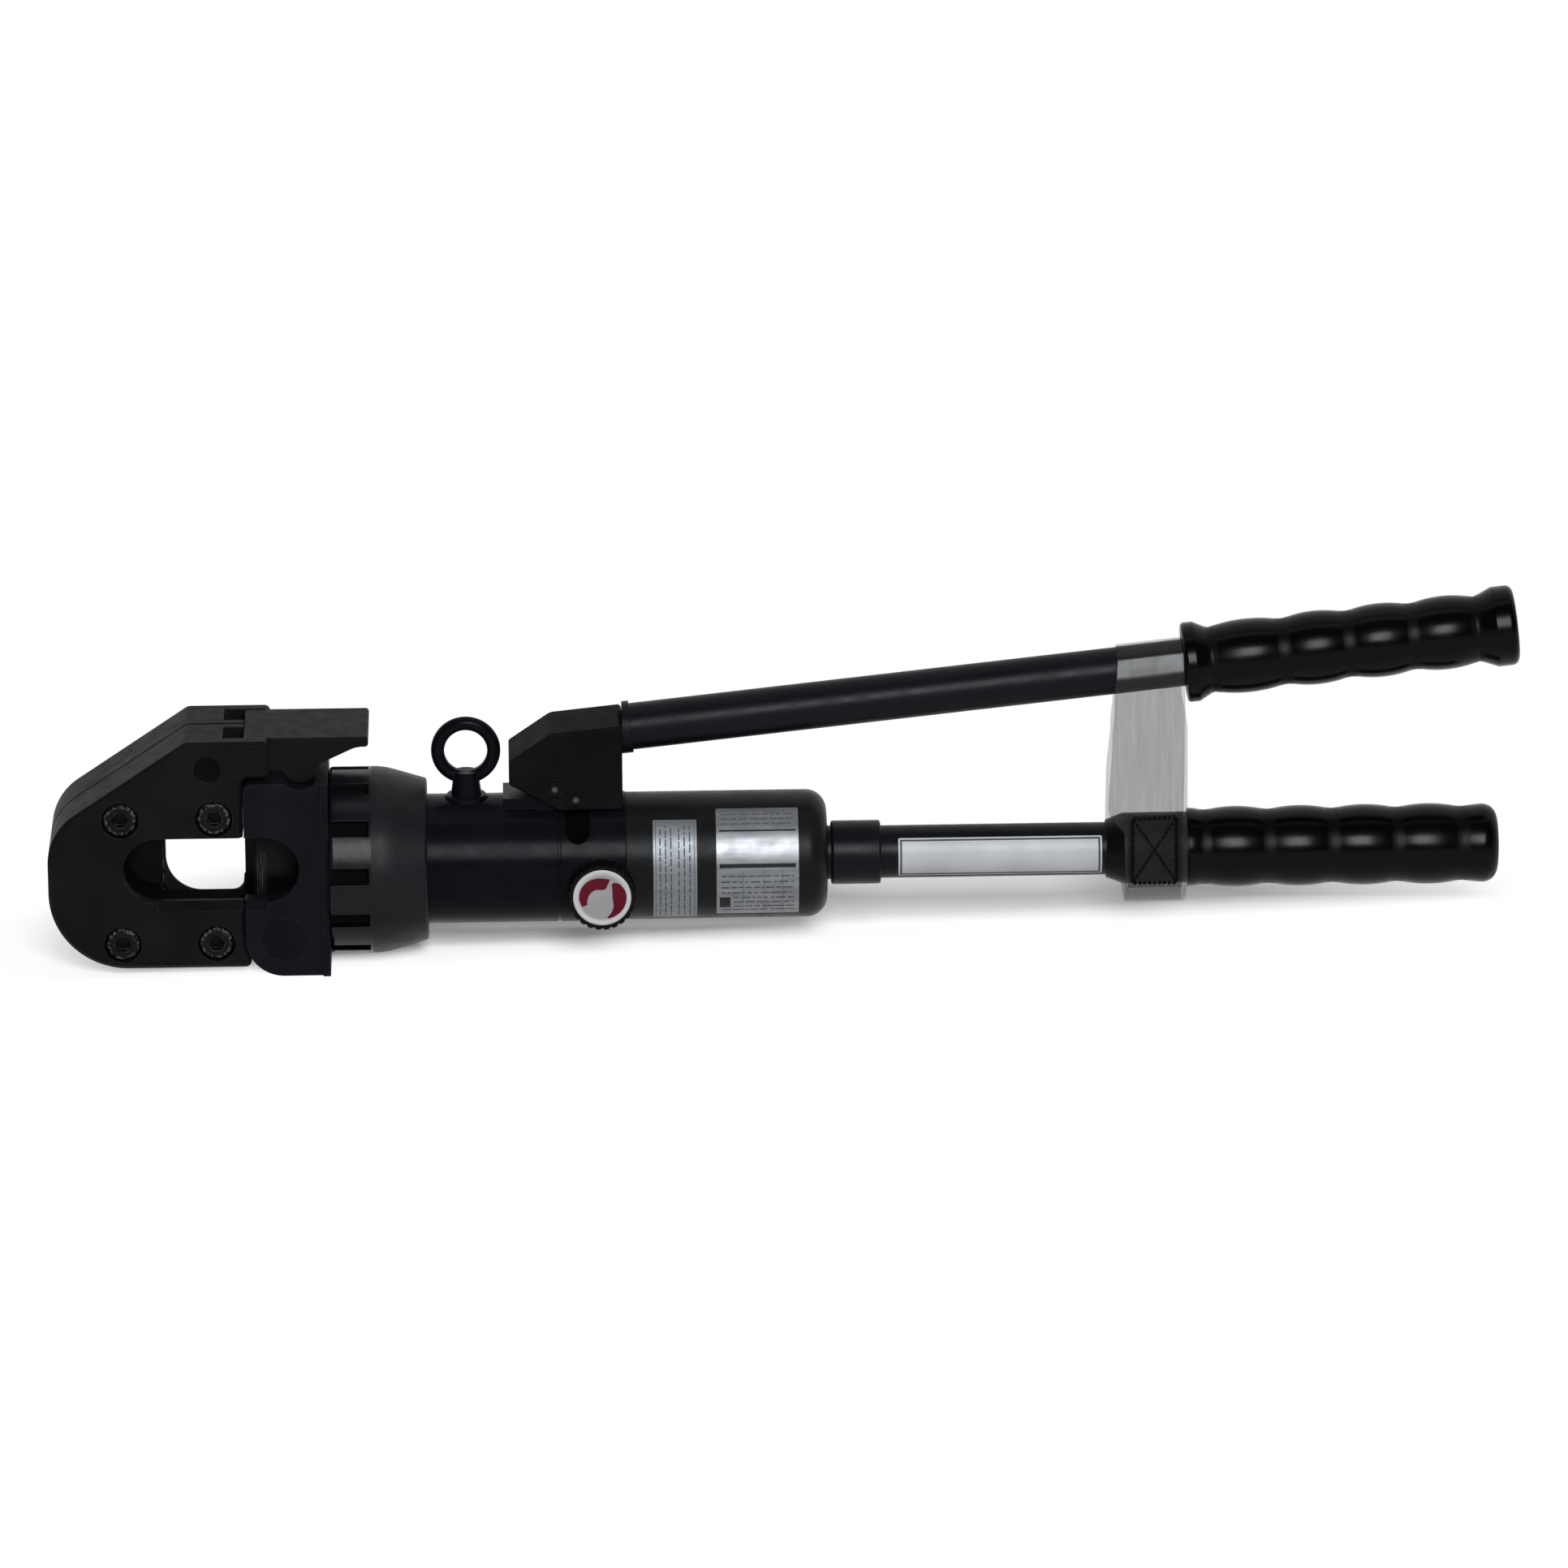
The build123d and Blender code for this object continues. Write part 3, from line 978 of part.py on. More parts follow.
def reservoir_shell():
    """Round oil tank, closed by an end wall with the thread for the handle."""
    shell = turned([
        (BODY_RIGHT + SEAT_GAP, RESERVOIR_BORE, 0),
        (BODY_RIGHT + SEAT_GAP, RESERVOIR_RADIUS, 0),
        (RESERVOIR_RIGHT, RESERVOIR_RADIUS, RESERVOIR_END_RADIUS),
        (RESERVOIR_RIGHT, ADAPTER_NECK_RADIUS + SEAT_GAP, 0),
        (RESERVOIR_RIGHT - RESERVOIR_END_WALL, ADAPTER_NECK_RADIUS + SEAT_GAP, 0),
        (RESERVOIR_RIGHT - RESERVOIR_END_WALL, RESERVOIR_BORE, RESERVOIR_END_RADIUS - RESERVOIR_WALL),
    ])
    return shell


def oil_bladder():
    """Flexible bag that keeps air out of the oil, open towards the pump."""
    outer = RESERVOIR_BORE - BLADDER_GAP
    inner = outer - BLADDER_WALL
    left = SPIGOT_END + SEAT_GAP
    return turned([
        (left, inner, 0),
        (left, outer, 0),
        (BLADDER_RIGHT, outer, RESERVOIR_END_RADIUS),
        (BLADDER_RIGHT, 0, 0),
        (BLADDER_RIGHT - BLADDER_WALL, 0, 0),
        (BLADDER_RIGHT - BLADDER_WALL, inner, RESERVOIR_END_RADIUS - BLADDER_WALL),
    ])


def suction_strainer():
    """Small cup over the suction port."""
    left = SPIGOT_END + SEAT_GAP
    right = left + STRAINER_LENGTH
    cup = x_rod(STRAINER_RADIUS, left, right, 0, VALVE_Z)
    return cup - x_rod(STRAINER_RADIUS - STRAINER_WALL, left, right - STRAINER_WALL, 0, VALVE_Z)


def handle_adapter():
    """Sleeve screwed into the reservoir, with a socket for the lower handle."""
    sleeve_x = RESERVOIR_RIGHT + ADAPTER_NECK_LENGTH
    socket_x = ADAPTER_RIGHT - ADAPTER_SOCKET
    socket = LOWER_TUBE_RADIUS + RUNNING_GAP
    return turned([
        (RESERVOIR_RIGHT - RESERVOIR_END_WALL, 0, 0),
        (RESERVOIR_RIGHT - RESERVOIR_END_WALL, ADAPTER_NECK_RADIUS, 0),
        (sleeve_x, ADAPTER_NECK_RADIUS, 0),
        (sleeve_x, ADAPTER_RADIUS, ADAPTER_ROUND),
        (ADAPTER_RIGHT, ADAPTER_RADIUS, ADAPTER_ROUND),
        (ADAPTER_RIGHT, socket, 0),
        (socket_x, socket, 0),
        (socket_x, 0, 0),
    ])


def lower_handle_tube():
    left = ADAPTER_RIGHT - ADAPTER_SOCKET + SEAT_GAP
    tube = x_rod(LOWER_TUBE_RADIUS, left, LOWER_TUBE_RIGHT)
    return tube - x_rod(LOWER_TUBE_RADIUS - LOWER_TUBE_WALL, -FAR, 2 * FAR)


def grip_solid(bore, bore_end, stations):
    """Turned grip from (x, radius, rise to the next station, round), closed at its right end."""
    edges = []
    for (x, radius, rise, _), (next_x, next_radius, _, _) in zip(stations, stations[1:]):
        if rise:
            middle = ((x + next_x) / 2, (radius + next_radius) / 2 + rise)
            edges.append(ThreePointArc((x, radius), middle, (next_x, next_radius)))
        else:
            edges.append(Line((x, radius), (next_x, next_radius)))
    start = stations[0][:2]
    end = stations[-1][:2]
    edges.append(Polyline(end, (end[0], 0), (bore_end, 0), (bore_end, bore), (start[0], bore), start))
    face = make_face([edge for piece in edges for edge in piece.edges()])
    for x, radius, _, corner in stations:
        if corner:
            face = fillet(face.vertices().sort_by_distance((x, radius, 0))[0], corner)
    return revolve(Plane.XZ * face, Axis.X)


def waists(first, last, count, radius, rise):
    """Finger waists spread evenly along a grip, each followed by a bump."""
    pitch = (last - first) / (count - 1)
    return [(first + index * pitch, radius, rise, GRIP_WAIST_ROUND) for index in range(count)]


def lower_grip():
    collar_right = LOWER_GRIP_LEFT + LOWER_COLLAR_LENGTH
    first_waist = LOWER_GRIP_LEFT + LOWER_FIRST_WAIST
    stations = [
        (LOWER_GRIP_LEFT, LOWER_FLARE_RADIUS, 0, 0),
        (LOWER_GRIP_LEFT + LOWER_FLARE_LENGTH, LOWER_COLLAR_RADIUS, 0, 0),
        (collar_right, LOWER_COLLAR_RADIUS, 0, 0),
        (collar_right, LOWER_SHOULDER_RADIUS, LOWER_SHOULDER_RISE, 0),
    ]
    last_waist = LOWER_GRIP_RIGHT - LOWER_END_BUMP
    stations += waists(first_waist, last_waist, LOWER_WAISTS, LOWER_WAIST_RADIUS, LOWER_RISE)
    stations[-1] = (last_waist, LOWER_WAIST_RADIUS, LOWER_END_RISE, GRIP_WAIST_ROUND)
    stations.append((LOWER_GRIP_RIGHT, LOWER_END_RADIUS, 0, LOWER_END_ROUND))
    return grip_solid(LOWER_TUBE_RADIUS + RUNNING_GAP, LOWER_TUBE_RIGHT + SEAT_GAP, stations)


def nameplate():
    return wrapped_label(LOWER_TUBE_RADIUS, NAMEPLATE_LEFT, NAMEPLATE_LENGTH, NAMEPLATE_ANGLES)


def spec_label():
    left = BODY_RIGHT + SPEC_LABEL_SETBACK
    return wrapped_label(RESERVOIR_RADIUS, left, SPEC_LABEL_WIDTH, SPEC_LABEL_ANGLES)


def side_label():
    left = BODY_RIGHT + SIDE_LABEL_SETBACK
    return wrapped_label(RESERVOIR_RADIUS, left, SIDE_LABEL_WIDTH, SIDE_LABEL_ANGLES)


# Pump handle

HANDLE_FRAME = Pos(HANDLE_X, 0, HANDLE_Z) * Rot(0, -HANDLE_TILT, 0)


def lever_bracket():
    """Forked bracket that straddles the fulcrum and carries the pump handle."""
    left = FULCRUM_X - BRACKET_FRONT
    bottom = FULCRUM_Z - BRACKET_FOOT
    bracket = plate(rounded_outline([
        (left, FULCRUM_Z + BRACKET_TOE_RISE, BRACKET_ROUND),
        (left, FULCRUM_Z + BRACKET_NOSE_RISE, BRACKET_ROUND),
        (left + BRACKET_SLOPE_LENGTH, FULCRUM_Z + BRACKET_SHOULDER_RISE, BRACKET_SHOULDER_ROUND),
        (BRACKET_RIGHT, FULCRUM_Z + BRACKET_HEIGHT, BRACKET_ROUND),
        (BRACKET_RIGHT, bottom, BRACKET_ROUND),
        (FULCRUM_X + BRACKET_HEEL, bottom, BRACKET_ROUND),
    ]), -BRACKET_HALF_WIDTH, BRACKET_HALF_WIDTH)
    sides = bracket.faces().sort_by(Axis.Y)
    bracket = chamfer(sides[0].edges() + sides[-1].edges(), BRACKET_EDGE)
    bracket -= block((-FAR, FAR), (-CHANNEL_HALF, CHANNEL_HALF), (-FAR, FULCRUM_Z + BRACKET_CEILING_RISE))
    stub_radius = UPPER_TUBE_RADIUS - UPPER_TUBE_WALL - SEAT_GAP
    bracket += HANDLE_FRAME * x_rod(stub_radius, -BRACKET_ROUND, BRACKET_STUB)
    bracket -= y_rod(FULCRUM_PIN_RADIUS + RUNNING_GAP, FULCRUM_X, FULCRUM_Z, -FAR, FAR)
    return bracket - y_rod(DRIVE_PIN_RADIUS + RUNNING_GAP, DRIVE_X, DRIVE_Z, -FAR, FAR)


def lever_pin(radius, x, z):
    """Plain pin across the bracket with a clip groove at each end."""
    half = PIN_HALF
    pin = y_rod(radius, x, z, -half, half)
    for side in (-1, 1):
        span = sorted((side * CLIP_SPAN[0], side * CLIP_SPAN[1]))
        pin -= y_rod(FAR, x, z, *span) - y_rod(radius - CLIP_GROOVE, x, z, *span)
    return pin


def fulcrum_pin():
    return lever_pin(FULCRUM_PIN_RADIUS, FULCRUM_X, FULCRUM_Z)


def drive_pin():
    return lever_pin(DRIVE_PIN_RADIUS, DRIVE_X, DRIVE_Z)


def pin_clips():
    """Four open clips in the grooves of the two lever pins."""
    clips = []
    for radius, x, z in ((FULCRUM_PIN_RADIUS, FULCRUM_X, FULCRUM_Z), (DRIVE_PIN_RADIUS, DRIVE_X, DRIVE_Z)):
        for side in (-1, 1):
            span = sorted((side * (CLIP_SPAN[0] + RUNNING_GAP), side * (CLIP_SPAN[1] - RUNNING_GAP)))
            bore = radius - CLIP_GROOVE + RUNNING_GAP
            clip = y_rod(radius + CLIP_RIM, x, z, *span) - y_rod(bore, x, z, *span)
            clip -= block((x - bore / 2, x + bore / 2), span, (z - 2 * CLIP_RIM - radius, z))
            clips.append(clip)
    return Compound(children=[clip.solid() for clip in clips])


def upper_handle_tube():
    """Pump handle with a ring at its foot, cut flush against the bracket's upright face."""
    tube = x_rod(UPPER_TUBE_RADIUS, -UPPER_TUBE_RADIUS, UPPER_TUBE_END)
    tube += x_rod(TUBE_RING_RADIUS, -UPPER_TUBE_RADIUS, TUBE_RING_LENGTH)
    tube -= x_rod(UPPER_TUBE_RADIUS - UPPER_TUBE_WALL, -FAR, 2 * FAR)
    return HANDLE_FRAME * tube - block((-FAR, BRACKET_RIGHT), (-FAR, FAR), (-FAR, FAR))


def upper_grip():
    first_waist = UPPER_GRIP_START + UPPER_FIRST_WAIST
    end_flange = UPPER_GRIP_END - UPPER_END_LENGTH
    stations = [
        (UPPER_GRIP_START, UPPER_FLANGE_RADIUS, 0, UPPER_FLANGE_ROUND),
        (UPPER_GRIP_START + UPPER_FLANGE_LENGTH, UPPER_FLANGE_RADIUS, 0, UPPER_FLANGE_ROUND),
        (UPPER_GRIP_START + UPPER_FLANGE_NECK, UPPER_WAIST_RADIUS, UPPER_RISE, UPPER_NECK_ROUND),
    ]
    last_waist = UPPER_GRIP_END - UPPER_END_NECK
    stations += waists(first_waist, last_waist, UPPER_WAISTS, UPPER_WAIST_RADIUS, UPPER_RISE)
    stations[-1] = (last_waist, UPPER_WAIST_RADIUS, 0, UPPER_NECK_ROUND)
    stations += [
        (end_flange, UPPER_FLANGE_RADIUS, 0, UPPER_FLANGE_ROUND),
        (UPPER_GRIP_END, UPPER_FLANGE_RADIUS, 0, UPPER_END_ROUND),
    ]
    return HANDLE_FRAME * grip_solid(UPPER_TUBE_RADIUS + RUNNING_GAP, UPPER_TUBE_END + SEAT_GAP, stations)


def loop_face(upper_z, upper_radius, lower_z, lower_radius):
    """Face inside a belt round two circles, seen along the tool."""
    lean = (upper_radius - lower_radius) / (upper_z - lower_z)
    out = sqrt(1 - lean ** 2)
    upper_y, upper_touch = upper_radius * out, upper_z + upper_radius * lean
    lower_y, lower_touch = lower_radius * out, lower_z + lower_radius * lean
    edges = [
        ThreePointArc((upper_y, upper_touch), (0, upper_z + upper_radius), (-upper_y, upper_touch)),
        Line((-upper_y, upper_touch), (-lower_y, lower_touch)),
        ThreePointArc((-lower_y, lower_touch), (0, lower_z - lower_radius), (lower_y, lower_touch)),
        Line((lower_y, lower_touch), (upper_y, upper_touch)),
    ]
    return make_face(edges)


def strap():
    """Loose loop of band round both handles."""
    lean = tan(radians(HANDLE_TILT))
    upper_z = HANDLE_Z + (STRAP_MIDDLE - HANDLE_X) * lean
    upper_radius = UPPER_TUBE_RADIUS / cos(radians(HANDLE_TILT)) + STRAP_WIDTH / 2 * lean + STRAP_UPPER_GAP
    lower_radius = STRAP_LOWER_RADIUS + STRAP_THICKNESS
    outer = loop_face(upper_z, upper_radius + STRAP_THICKNESS, -STRAP_DROP, lower_radius)
    inner = loop_face(upper_z, upper_radius, -STRAP_DROP, STRAP_LOWER_RADIUS)
    return extrude(Plane.YZ.offset(STRAP_LEFT) * (outer - inner), amount=STRAP_WIDTH)


PIECES = (
    front_jaw_plate, rear_jaw_plate, fixed_blade, jaw_screws, latch_pin, latch, latch_spring,
    yoke, hinge_pin, hinge_circlip, rod_bush, collar_nut, pump_body, eye_bolt,
    ram, piston_seal, return_spring, moving_blade, blade_pin,
    pump_plunger, plunger_gland, plunger_seal, check_balls, check_plugs, check_springs,
    relief_poppet, relief_spring, relief_screw, release_stem, release_knob, knob_label,
    reservoir_seal, reservoir_shell, oil_bladder, suction_strainer, handle_adapter,
    lower_handle_tube, lower_grip, nameplate, spec_label, side_label,
    lever_bracket, fulcrum_pin, drive_pin, pin_clips, upper_handle_tube, upper_grip, strap,
)


def write_parts():
    """Export every piece, with the origin under the middle of the tool."""
    os.makedirs("parts", exist_ok=True)
    shapes = {piece.__name__: piece() for piece in PIECES}
    length = shapes["upper_grip"].bounding_box().max.X
    for name, shape in shapes.items():
        export_step(Pos(-length / 2, 0, -YOKE_BOTTOM) * shape, f"parts/{name}.step")
    print(f"length {length:.3f}, ram axis {-YOKE_BOTTOM:.3f} above the floor")


write_parts()
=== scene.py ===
import json
import math
import random

import bpy
from mathutils import Matrix, Vector


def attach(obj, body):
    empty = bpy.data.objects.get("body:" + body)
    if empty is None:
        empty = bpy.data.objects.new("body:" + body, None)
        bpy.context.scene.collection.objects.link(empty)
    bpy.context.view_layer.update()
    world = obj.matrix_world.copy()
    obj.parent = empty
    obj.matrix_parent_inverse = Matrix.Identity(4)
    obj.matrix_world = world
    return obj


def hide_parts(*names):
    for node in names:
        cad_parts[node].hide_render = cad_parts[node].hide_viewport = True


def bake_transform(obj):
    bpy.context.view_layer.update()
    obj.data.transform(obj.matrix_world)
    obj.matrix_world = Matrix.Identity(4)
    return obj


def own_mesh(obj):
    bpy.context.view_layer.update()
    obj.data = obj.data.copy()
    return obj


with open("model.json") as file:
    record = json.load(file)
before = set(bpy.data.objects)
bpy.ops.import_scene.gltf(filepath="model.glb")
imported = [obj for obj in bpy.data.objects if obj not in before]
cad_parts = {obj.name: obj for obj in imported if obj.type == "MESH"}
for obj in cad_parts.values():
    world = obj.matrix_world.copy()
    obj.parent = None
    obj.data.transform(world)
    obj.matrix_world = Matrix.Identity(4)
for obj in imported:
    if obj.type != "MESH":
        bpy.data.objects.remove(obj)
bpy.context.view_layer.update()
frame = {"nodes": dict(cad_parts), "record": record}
NODES = frame["nodes"]

# Places are in the tool's own millimetres: x from the head's left end, y from the mid-plane to the back,
# z from the ram's axis up. Lengths inside materials and on the stage and the stitches' radii are in
# metres, and angles in degrees unless they are turned into radians.
MIDDLE_X = 298.882
FLOOR_Z = -40.5
SCREW_PLACES = [(x, z) for x in (29.7, 67.6) for z in (-26.4, 26.4)]
FULCRUM_PLACE = (205.5, 34.0)
DRIVE_PLACE = (214.0, 29.5)
KNOB_PLACE = (224.0, -6.0)
TUBE_START = (233.6, 54.7)
TUBE_TILT = 6.0


def place(x, y, z):
    """Point in the shared frame, in metres."""
    return Vector(((x - MIDDLE_X) / 1000, y / 1000, (z - FLOOR_Z) / 1000))


# Node helpers for materials

WHITE = (1, 1, 1, 1)
BEVEL_SAMPLES = 6
NOISE_LOW, NOISE_HIGH = 0.3, 0.7
EDGE_BEND = (0.80, 0.97)
EDGE_PATCHES = (0.42, 0.62)


def new_material(name):
    """Material with its node tree and its main shader."""
    material = bpy.data.materials.new(name)
    material.use_nodes = True
    tree = material.node_tree
    return material, tree, tree.nodes["Principled BSDF"]


def feed(tree, value, socket):
    """Links a socket to another one, or sets a fixed value on it."""
    if hasattr(value, "is_linked"):
        tree.links.new(value, socket)
    else:
        socket.default_value = value


def arithmetic(tree, operation, first, second):
    """Sum, product or the like of two values; each is a socket or a number."""
    node = tree.nodes.new("ShaderNodeMath")
    node.operation = operation
    for index, value in enumerate((first, second)):
        feed(tree, value, node.inputs[index])
    return node.outputs[0]


def vector_math(tree, operation, first, second=None):
    """Vector sum, product or the like; a length and a dot product give a number."""
    node = tree.nodes.new("ShaderNodeVectorMath")
    node.operation = operation
    tree.links.new(first, node.inputs[0])
    if second is not None:
        feed(tree, second, node.inputs[1])
    return node.outputs["Value" if operation in ("LENGTH", "DOT_PRODUCT") else "Vector"]


def object_place(tree):
    """Position in the object's own coordinates, which at rest are the shared frame's."""
    return tree.nodes.new("ShaderNodeTexCoord").outputs["Object"]


def split_vector(tree, source):
    """The three numbers of a vector."""
    node = tree.nodes.new("ShaderNodeSeparateXYZ")
    tree.links.new(source, node.inputs[0])
    return node.outputs


def mapped(tree, source, scale, shift=(0, 0, 0)):
    """Vector scaled and then shifted."""
    node = tree.nodes.new("ShaderNodeMapping")
    node.inputs["Location"].default_value = shift
    node.inputs["Scale"].default_value = scale
    tree.links.new(source, node.inputs["Vector"])
    return node.outputs["Vector"]


def noise(tree, scale, detail=3.0, stretch=None):
    """Noise over the object's own coordinates, in features per metre."""
    source = object_place(tree)
    texture = tree.nodes.new("ShaderNodeTexNoise")
    texture.inputs["Scale"].default_value = scale
    texture.inputs["Detail"].default_value = detail
    tree.links.new(mapped(tree, source, stretch) if stretch else source, texture.inputs["Vector"])
    return texture.outputs["Fac"]


def spread(tree, source, low, high, start=NOISE_LOW, end=NOISE_HIGH):
    """Maps a value from one range, by default that of noise, to another, clamped."""
    node = tree.nodes.new("ShaderNodeMapRange")
    node.inputs["From Min"].default_value = start
    node.inputs["From Max"].default_value = end
    node.inputs["To Min"].default_value = low
    node.inputs["To Max"].default_value = high
    tree.links.new(source, node.inputs["Value"])
    return node.outputs["Result"]


def blended(tree, factor, first, second):
    """Colour mixed from two; each is a socket or a colour."""
    node = tree.nodes.new("ShaderNodeMix")
    node.data_type = "RGBA"
    tree.links.new(factor, node.inputs["Factor"])
    for name, value in (("A", first), ("B", second)):
        socket = [s for s in node.inputs if s.name == name and s.type == "RGBA"][0]
        feed(tree, (*value, 1) if isinstance(value, tuple) else value, socket)
    return [s for s in node.outputs if s.type == "RGBA"][0]


def rounded_normal(tree, radius):
    """Normal of a surface whose edges look rounded."""
    bevel = tree.nodes.new("ShaderNodeBevel")
    bevel.samples = BEVEL_SAMPLES
    bevel.inputs["Radius"].default_value = radius
    return bevel.outputs["Normal"]


def relief(tree, shader, source, strength, distance, round_edge=0.0):
    """Bump from a height, over edges that look rounded."""
    node = tree.nodes.new("ShaderNodeBump")
    node.inputs["Strength"].default_value = strength
    node.inputs["Distance"].default_value = distance
    tree.links.new(source, node.inputs["Height"])
    if round_edge:
        tree.links.new(rounded_normal(tree, round_edge), node.inputs["Normal"])
    tree.links.new(node.outputs["Normal"], shader.inputs["Normal"])


def edge_mask(tree, radius):
    """Near one along worn edges, broken up by noise, and zero on flat faces."""
    normal = tree.nodes.new("ShaderNodeNewGeometry").outputs["Normal"]
    bend = vector_math(tree, "DOT_PRODUCT", rounded_normal(tree, radius), normal)
    patchy = spread(tree, noise(tree, 260.0, detail=4.0), 0.0, 1.0, *EDGE_PATCHES)
    return arithmetic(tree, "MULTIPLY", spread(tree, bend, 1.0, 0.0, *EDGE_BEND), patchy)


def radius_from(tree, x, z, along, tilt=0.0):
    """Distance from an axis through a place, which runs along y, or along x with a tilt in degrees."""
    shifted = vector_math(tree, "SUBTRACT", object_place(tree), place(x, 0, z))
    turned = tree.nodes.new("ShaderNodeVectorRotate")
    turned.rotation_type = "Y_AXIS"
    turned.inputs["Angle"].default_value = math.radians(tilt)
    tree.links.new(shifted, turned.inputs["Vector"])
    flat = vector_math(tree, "MULTIPLY", turned.outputs[0], (0, 1, 1) if along == "x" else (1, 0, 1))
    return vector_math(tree, "LENGTH", flat)


def inside(tree, box, soft):
    """Near one within a box between two places, with soft sides of a width in metres."""
    low, high = (place(*corner) for corner in box)
    total = None
    for value, start, end in zip(split_vector(tree, object_place(tree)), low, high):
        for edge, inner in ((start, start + soft), (end, end - soft)):
            side = spread(tree, value, 0.0, 1.0, edge, inner)
            total = side if total is None else arithmetic(tree, "MULTIPLY", total, side)
    return total


def recolour(material, factor, colour):
    """Lays a colour over the material's own where the factor is high."""
    tree = material.node_tree
    base = tree.nodes["Principled BSDF"].inputs["Base Color"]
    tree.links.new(blended(tree, factor, base.links[0].from_socket, colour), base)


def dulled(material, factor):
    """Takes the gloss off where the factor is high."""
    tree = material.node_tree
    rough = tree.nodes["Principled BSDF"].inputs["Roughness"]
    tree.links.new(arithmetic(tree, "MAXIMUM", rough.links[0].from_socket, factor), rough)


# Kinds of material

def painted(name, dark, light, rough, specular, grain=900.0, depth=0.00006, edge=0.0004, wear=None):
    """Painted or oxidised metal: mottled tone, uneven gloss, fine skin and rounded edges.

    The skin has a number of grains per metre and a depth, and wear is the colour of rubbed edges.
    """
    material, tree, shader = new_material(name)
    mottle = spread(tree, noise(tree, 60.0, detail=4.0), 0.0, 1.0)
    colour = blended(tree, mottle, dark, light)
    if wear:
        colour = blended(tree, edge_mask(tree, 2 * edge), colour, wear)
    tree.links.new(colour, shader.inputs["Base Color"])
    gloss = spread(tree, noise(tree, 140.0, detail=5.0), rough - 0.05, rough + 0.06)
    tree.links.new(gloss, shader.inputs["Roughness"])
    shader.inputs["Specular IOR Level"].default_value = specular
    relief(tree, shader, noise(tree, grain, detail=2.0), strength=0.4, distance=depth, round_edge=edge)
    return material


def brushed(name, dark, light, rough, stretch=(1.0, 1.0, 1.0)):
    """Ground metal with fine lines."""
    material, tree, shader = new_material(name)
    lines = noise(tree, 900.0, stretch=stretch)
    tree.links.new(blended(tree, spread(tree, lines, 0.0, 1.0), dark, light), shader.inputs["Base Color"])
    tree.links.new(spread(tree, lines, rough - 0.06, rough + 0.08), shader.inputs["Roughness"])
    shader.inputs["Metallic"].default_value = 1.0
    relief(tree, shader, lines, strength=0.1, distance=0.00003)
    return material


def moulded(name, dark, light, rough, specular, grain=500.0, depth=0.00001):
    """Moulded plastic or rubber, or print."""
    material, tree, shader = new_material(name)
    mottle = spread(tree, noise(tree, 40.0), 0.0, 1.0)
    tree.links.new(blended(tree, mottle, dark, light), shader.inputs["Base Color"])
    gloss = spread(tree, noise(tree, 90.0), rough - 0.03, rough + 0.05)
    tree.links.new(gloss, shader.inputs["Roughness"])
    shader.inputs["Specular IOR Level"].default_value = specular
    relief(tree, shader, noise(tree, grain, detail=2.0), strength=0.3, distance=depth)
    return material


def foil(name, dark, light, rough):
    """Thin metal foil of a label, finely rolled along its length."""
    material, tree, shader = new_material(name)
    lines = noise(tree, 500.0, stretch=(0.15, 1.0, 1.0))
    tree.links.new(blended(tree, spread(tree, lines, 0.0, 1.0), dark, light), shader.inputs["Base Color"])
    gloss = spread(tree, noise(tree, 120.0), rough - 0.05, rough + 0.07)
    tree.links.new(gloss, shader.inputs["Roughness"])
    shader.inputs["Metallic"].default_value = 0.7
    relief(tree, shader, noise(tree, 160.0, detail=2.0), strength=0.15, distance=0.00005)
    return material


FILM_ROUGHNESS = (0.25, 0.34)
FILM_ALPHA = (0.22, 0.265)


def film(name, dark, light, bending):
    """Smoky clear band: see-through, with fine lines along its length and an index of refraction."""
    material, tree, shader = new_material(name)
    lines = noise(tree, 700.0, stretch=(1.0, 0.06, 0.06))
    cloud = noise(tree, 90.0, detail=4.0)
    tree.links.new(blended(tree, spread(tree, lines, 0.0, 1.0), dark, light), shader.inputs["Base Color"])
    tree.links.new(spread(tree, cloud, *FILM_ROUGHNESS), shader.inputs["Roughness"])
    tree.links.new(spread(tree, lines, *FILM_ALPHA), shader.inputs["Alpha"])
    shader.inputs["IOR"].default_value = bending
    relief(tree, shader, lines, strength=0.2, distance=0.00006)
    return material


# Materials of single pieces, with what lies at a place on them

GRIP_WAIST_ROUGHNESS = 0.40
GRIP_WAIST_FADE = 0.0006
LOWER_GRIP_WAIST = 0.0153
UPPER_GRIP_WAIST = 0.0136


def grip_material(name, start, tilt, waist):
    """Moulded black grip round an axis, whose waists of a radius are duller than its bulges."""
    material = moulded(name, (0.0004, 0.0004, 0.0006), (0.0008, 0.0008, 0.0011), rough=0.22, specular=0.088)
    tree = material.node_tree
    reach = radius_from(tree, *start, "x", tilt)
    dulled(material, spread(tree, reach, GRIP_WAIST_ROUGHNESS, 0.0, waist, waist + GRIP_WAIST_FADE))
    return material


WINDOW_BOX = ((27.0, -21.6, -23.5), (92.0, 26.0, 20.5))


def head_material():
    """Black jaw plates with dull worn edges and painted shade in the cutting window."""
    material = painted("head_black", (0.0048, 0.0048, 0.0049), (0.0079, 0.0079, 0.0081),
                       rough=0.5, specular=0.04, grain=700.0, depth=0.0001, edge=0.0005,
                       wear=(0.024, 0.024, 0.0245))
    window = inside(material.node_tree, WINDOW_BOX, soft=0.0012)
    # Painted shade: the inside of the cutting window is darkened and dulled.
    recolour(material, window, (0.0012, 0.0012, 0.0013))
    dulled(material, window)
    return material


BLADE_EDGE_BOX = ((82.4, -60.0, -16.0), (88.4, 60.0, 7.0))
BLADE_LOWER_BOX = ((70.0, -60.0, -60.0), (200.0, 60.0, -1.0))
SCRATCH_RANGE = (0.54, 0.64)


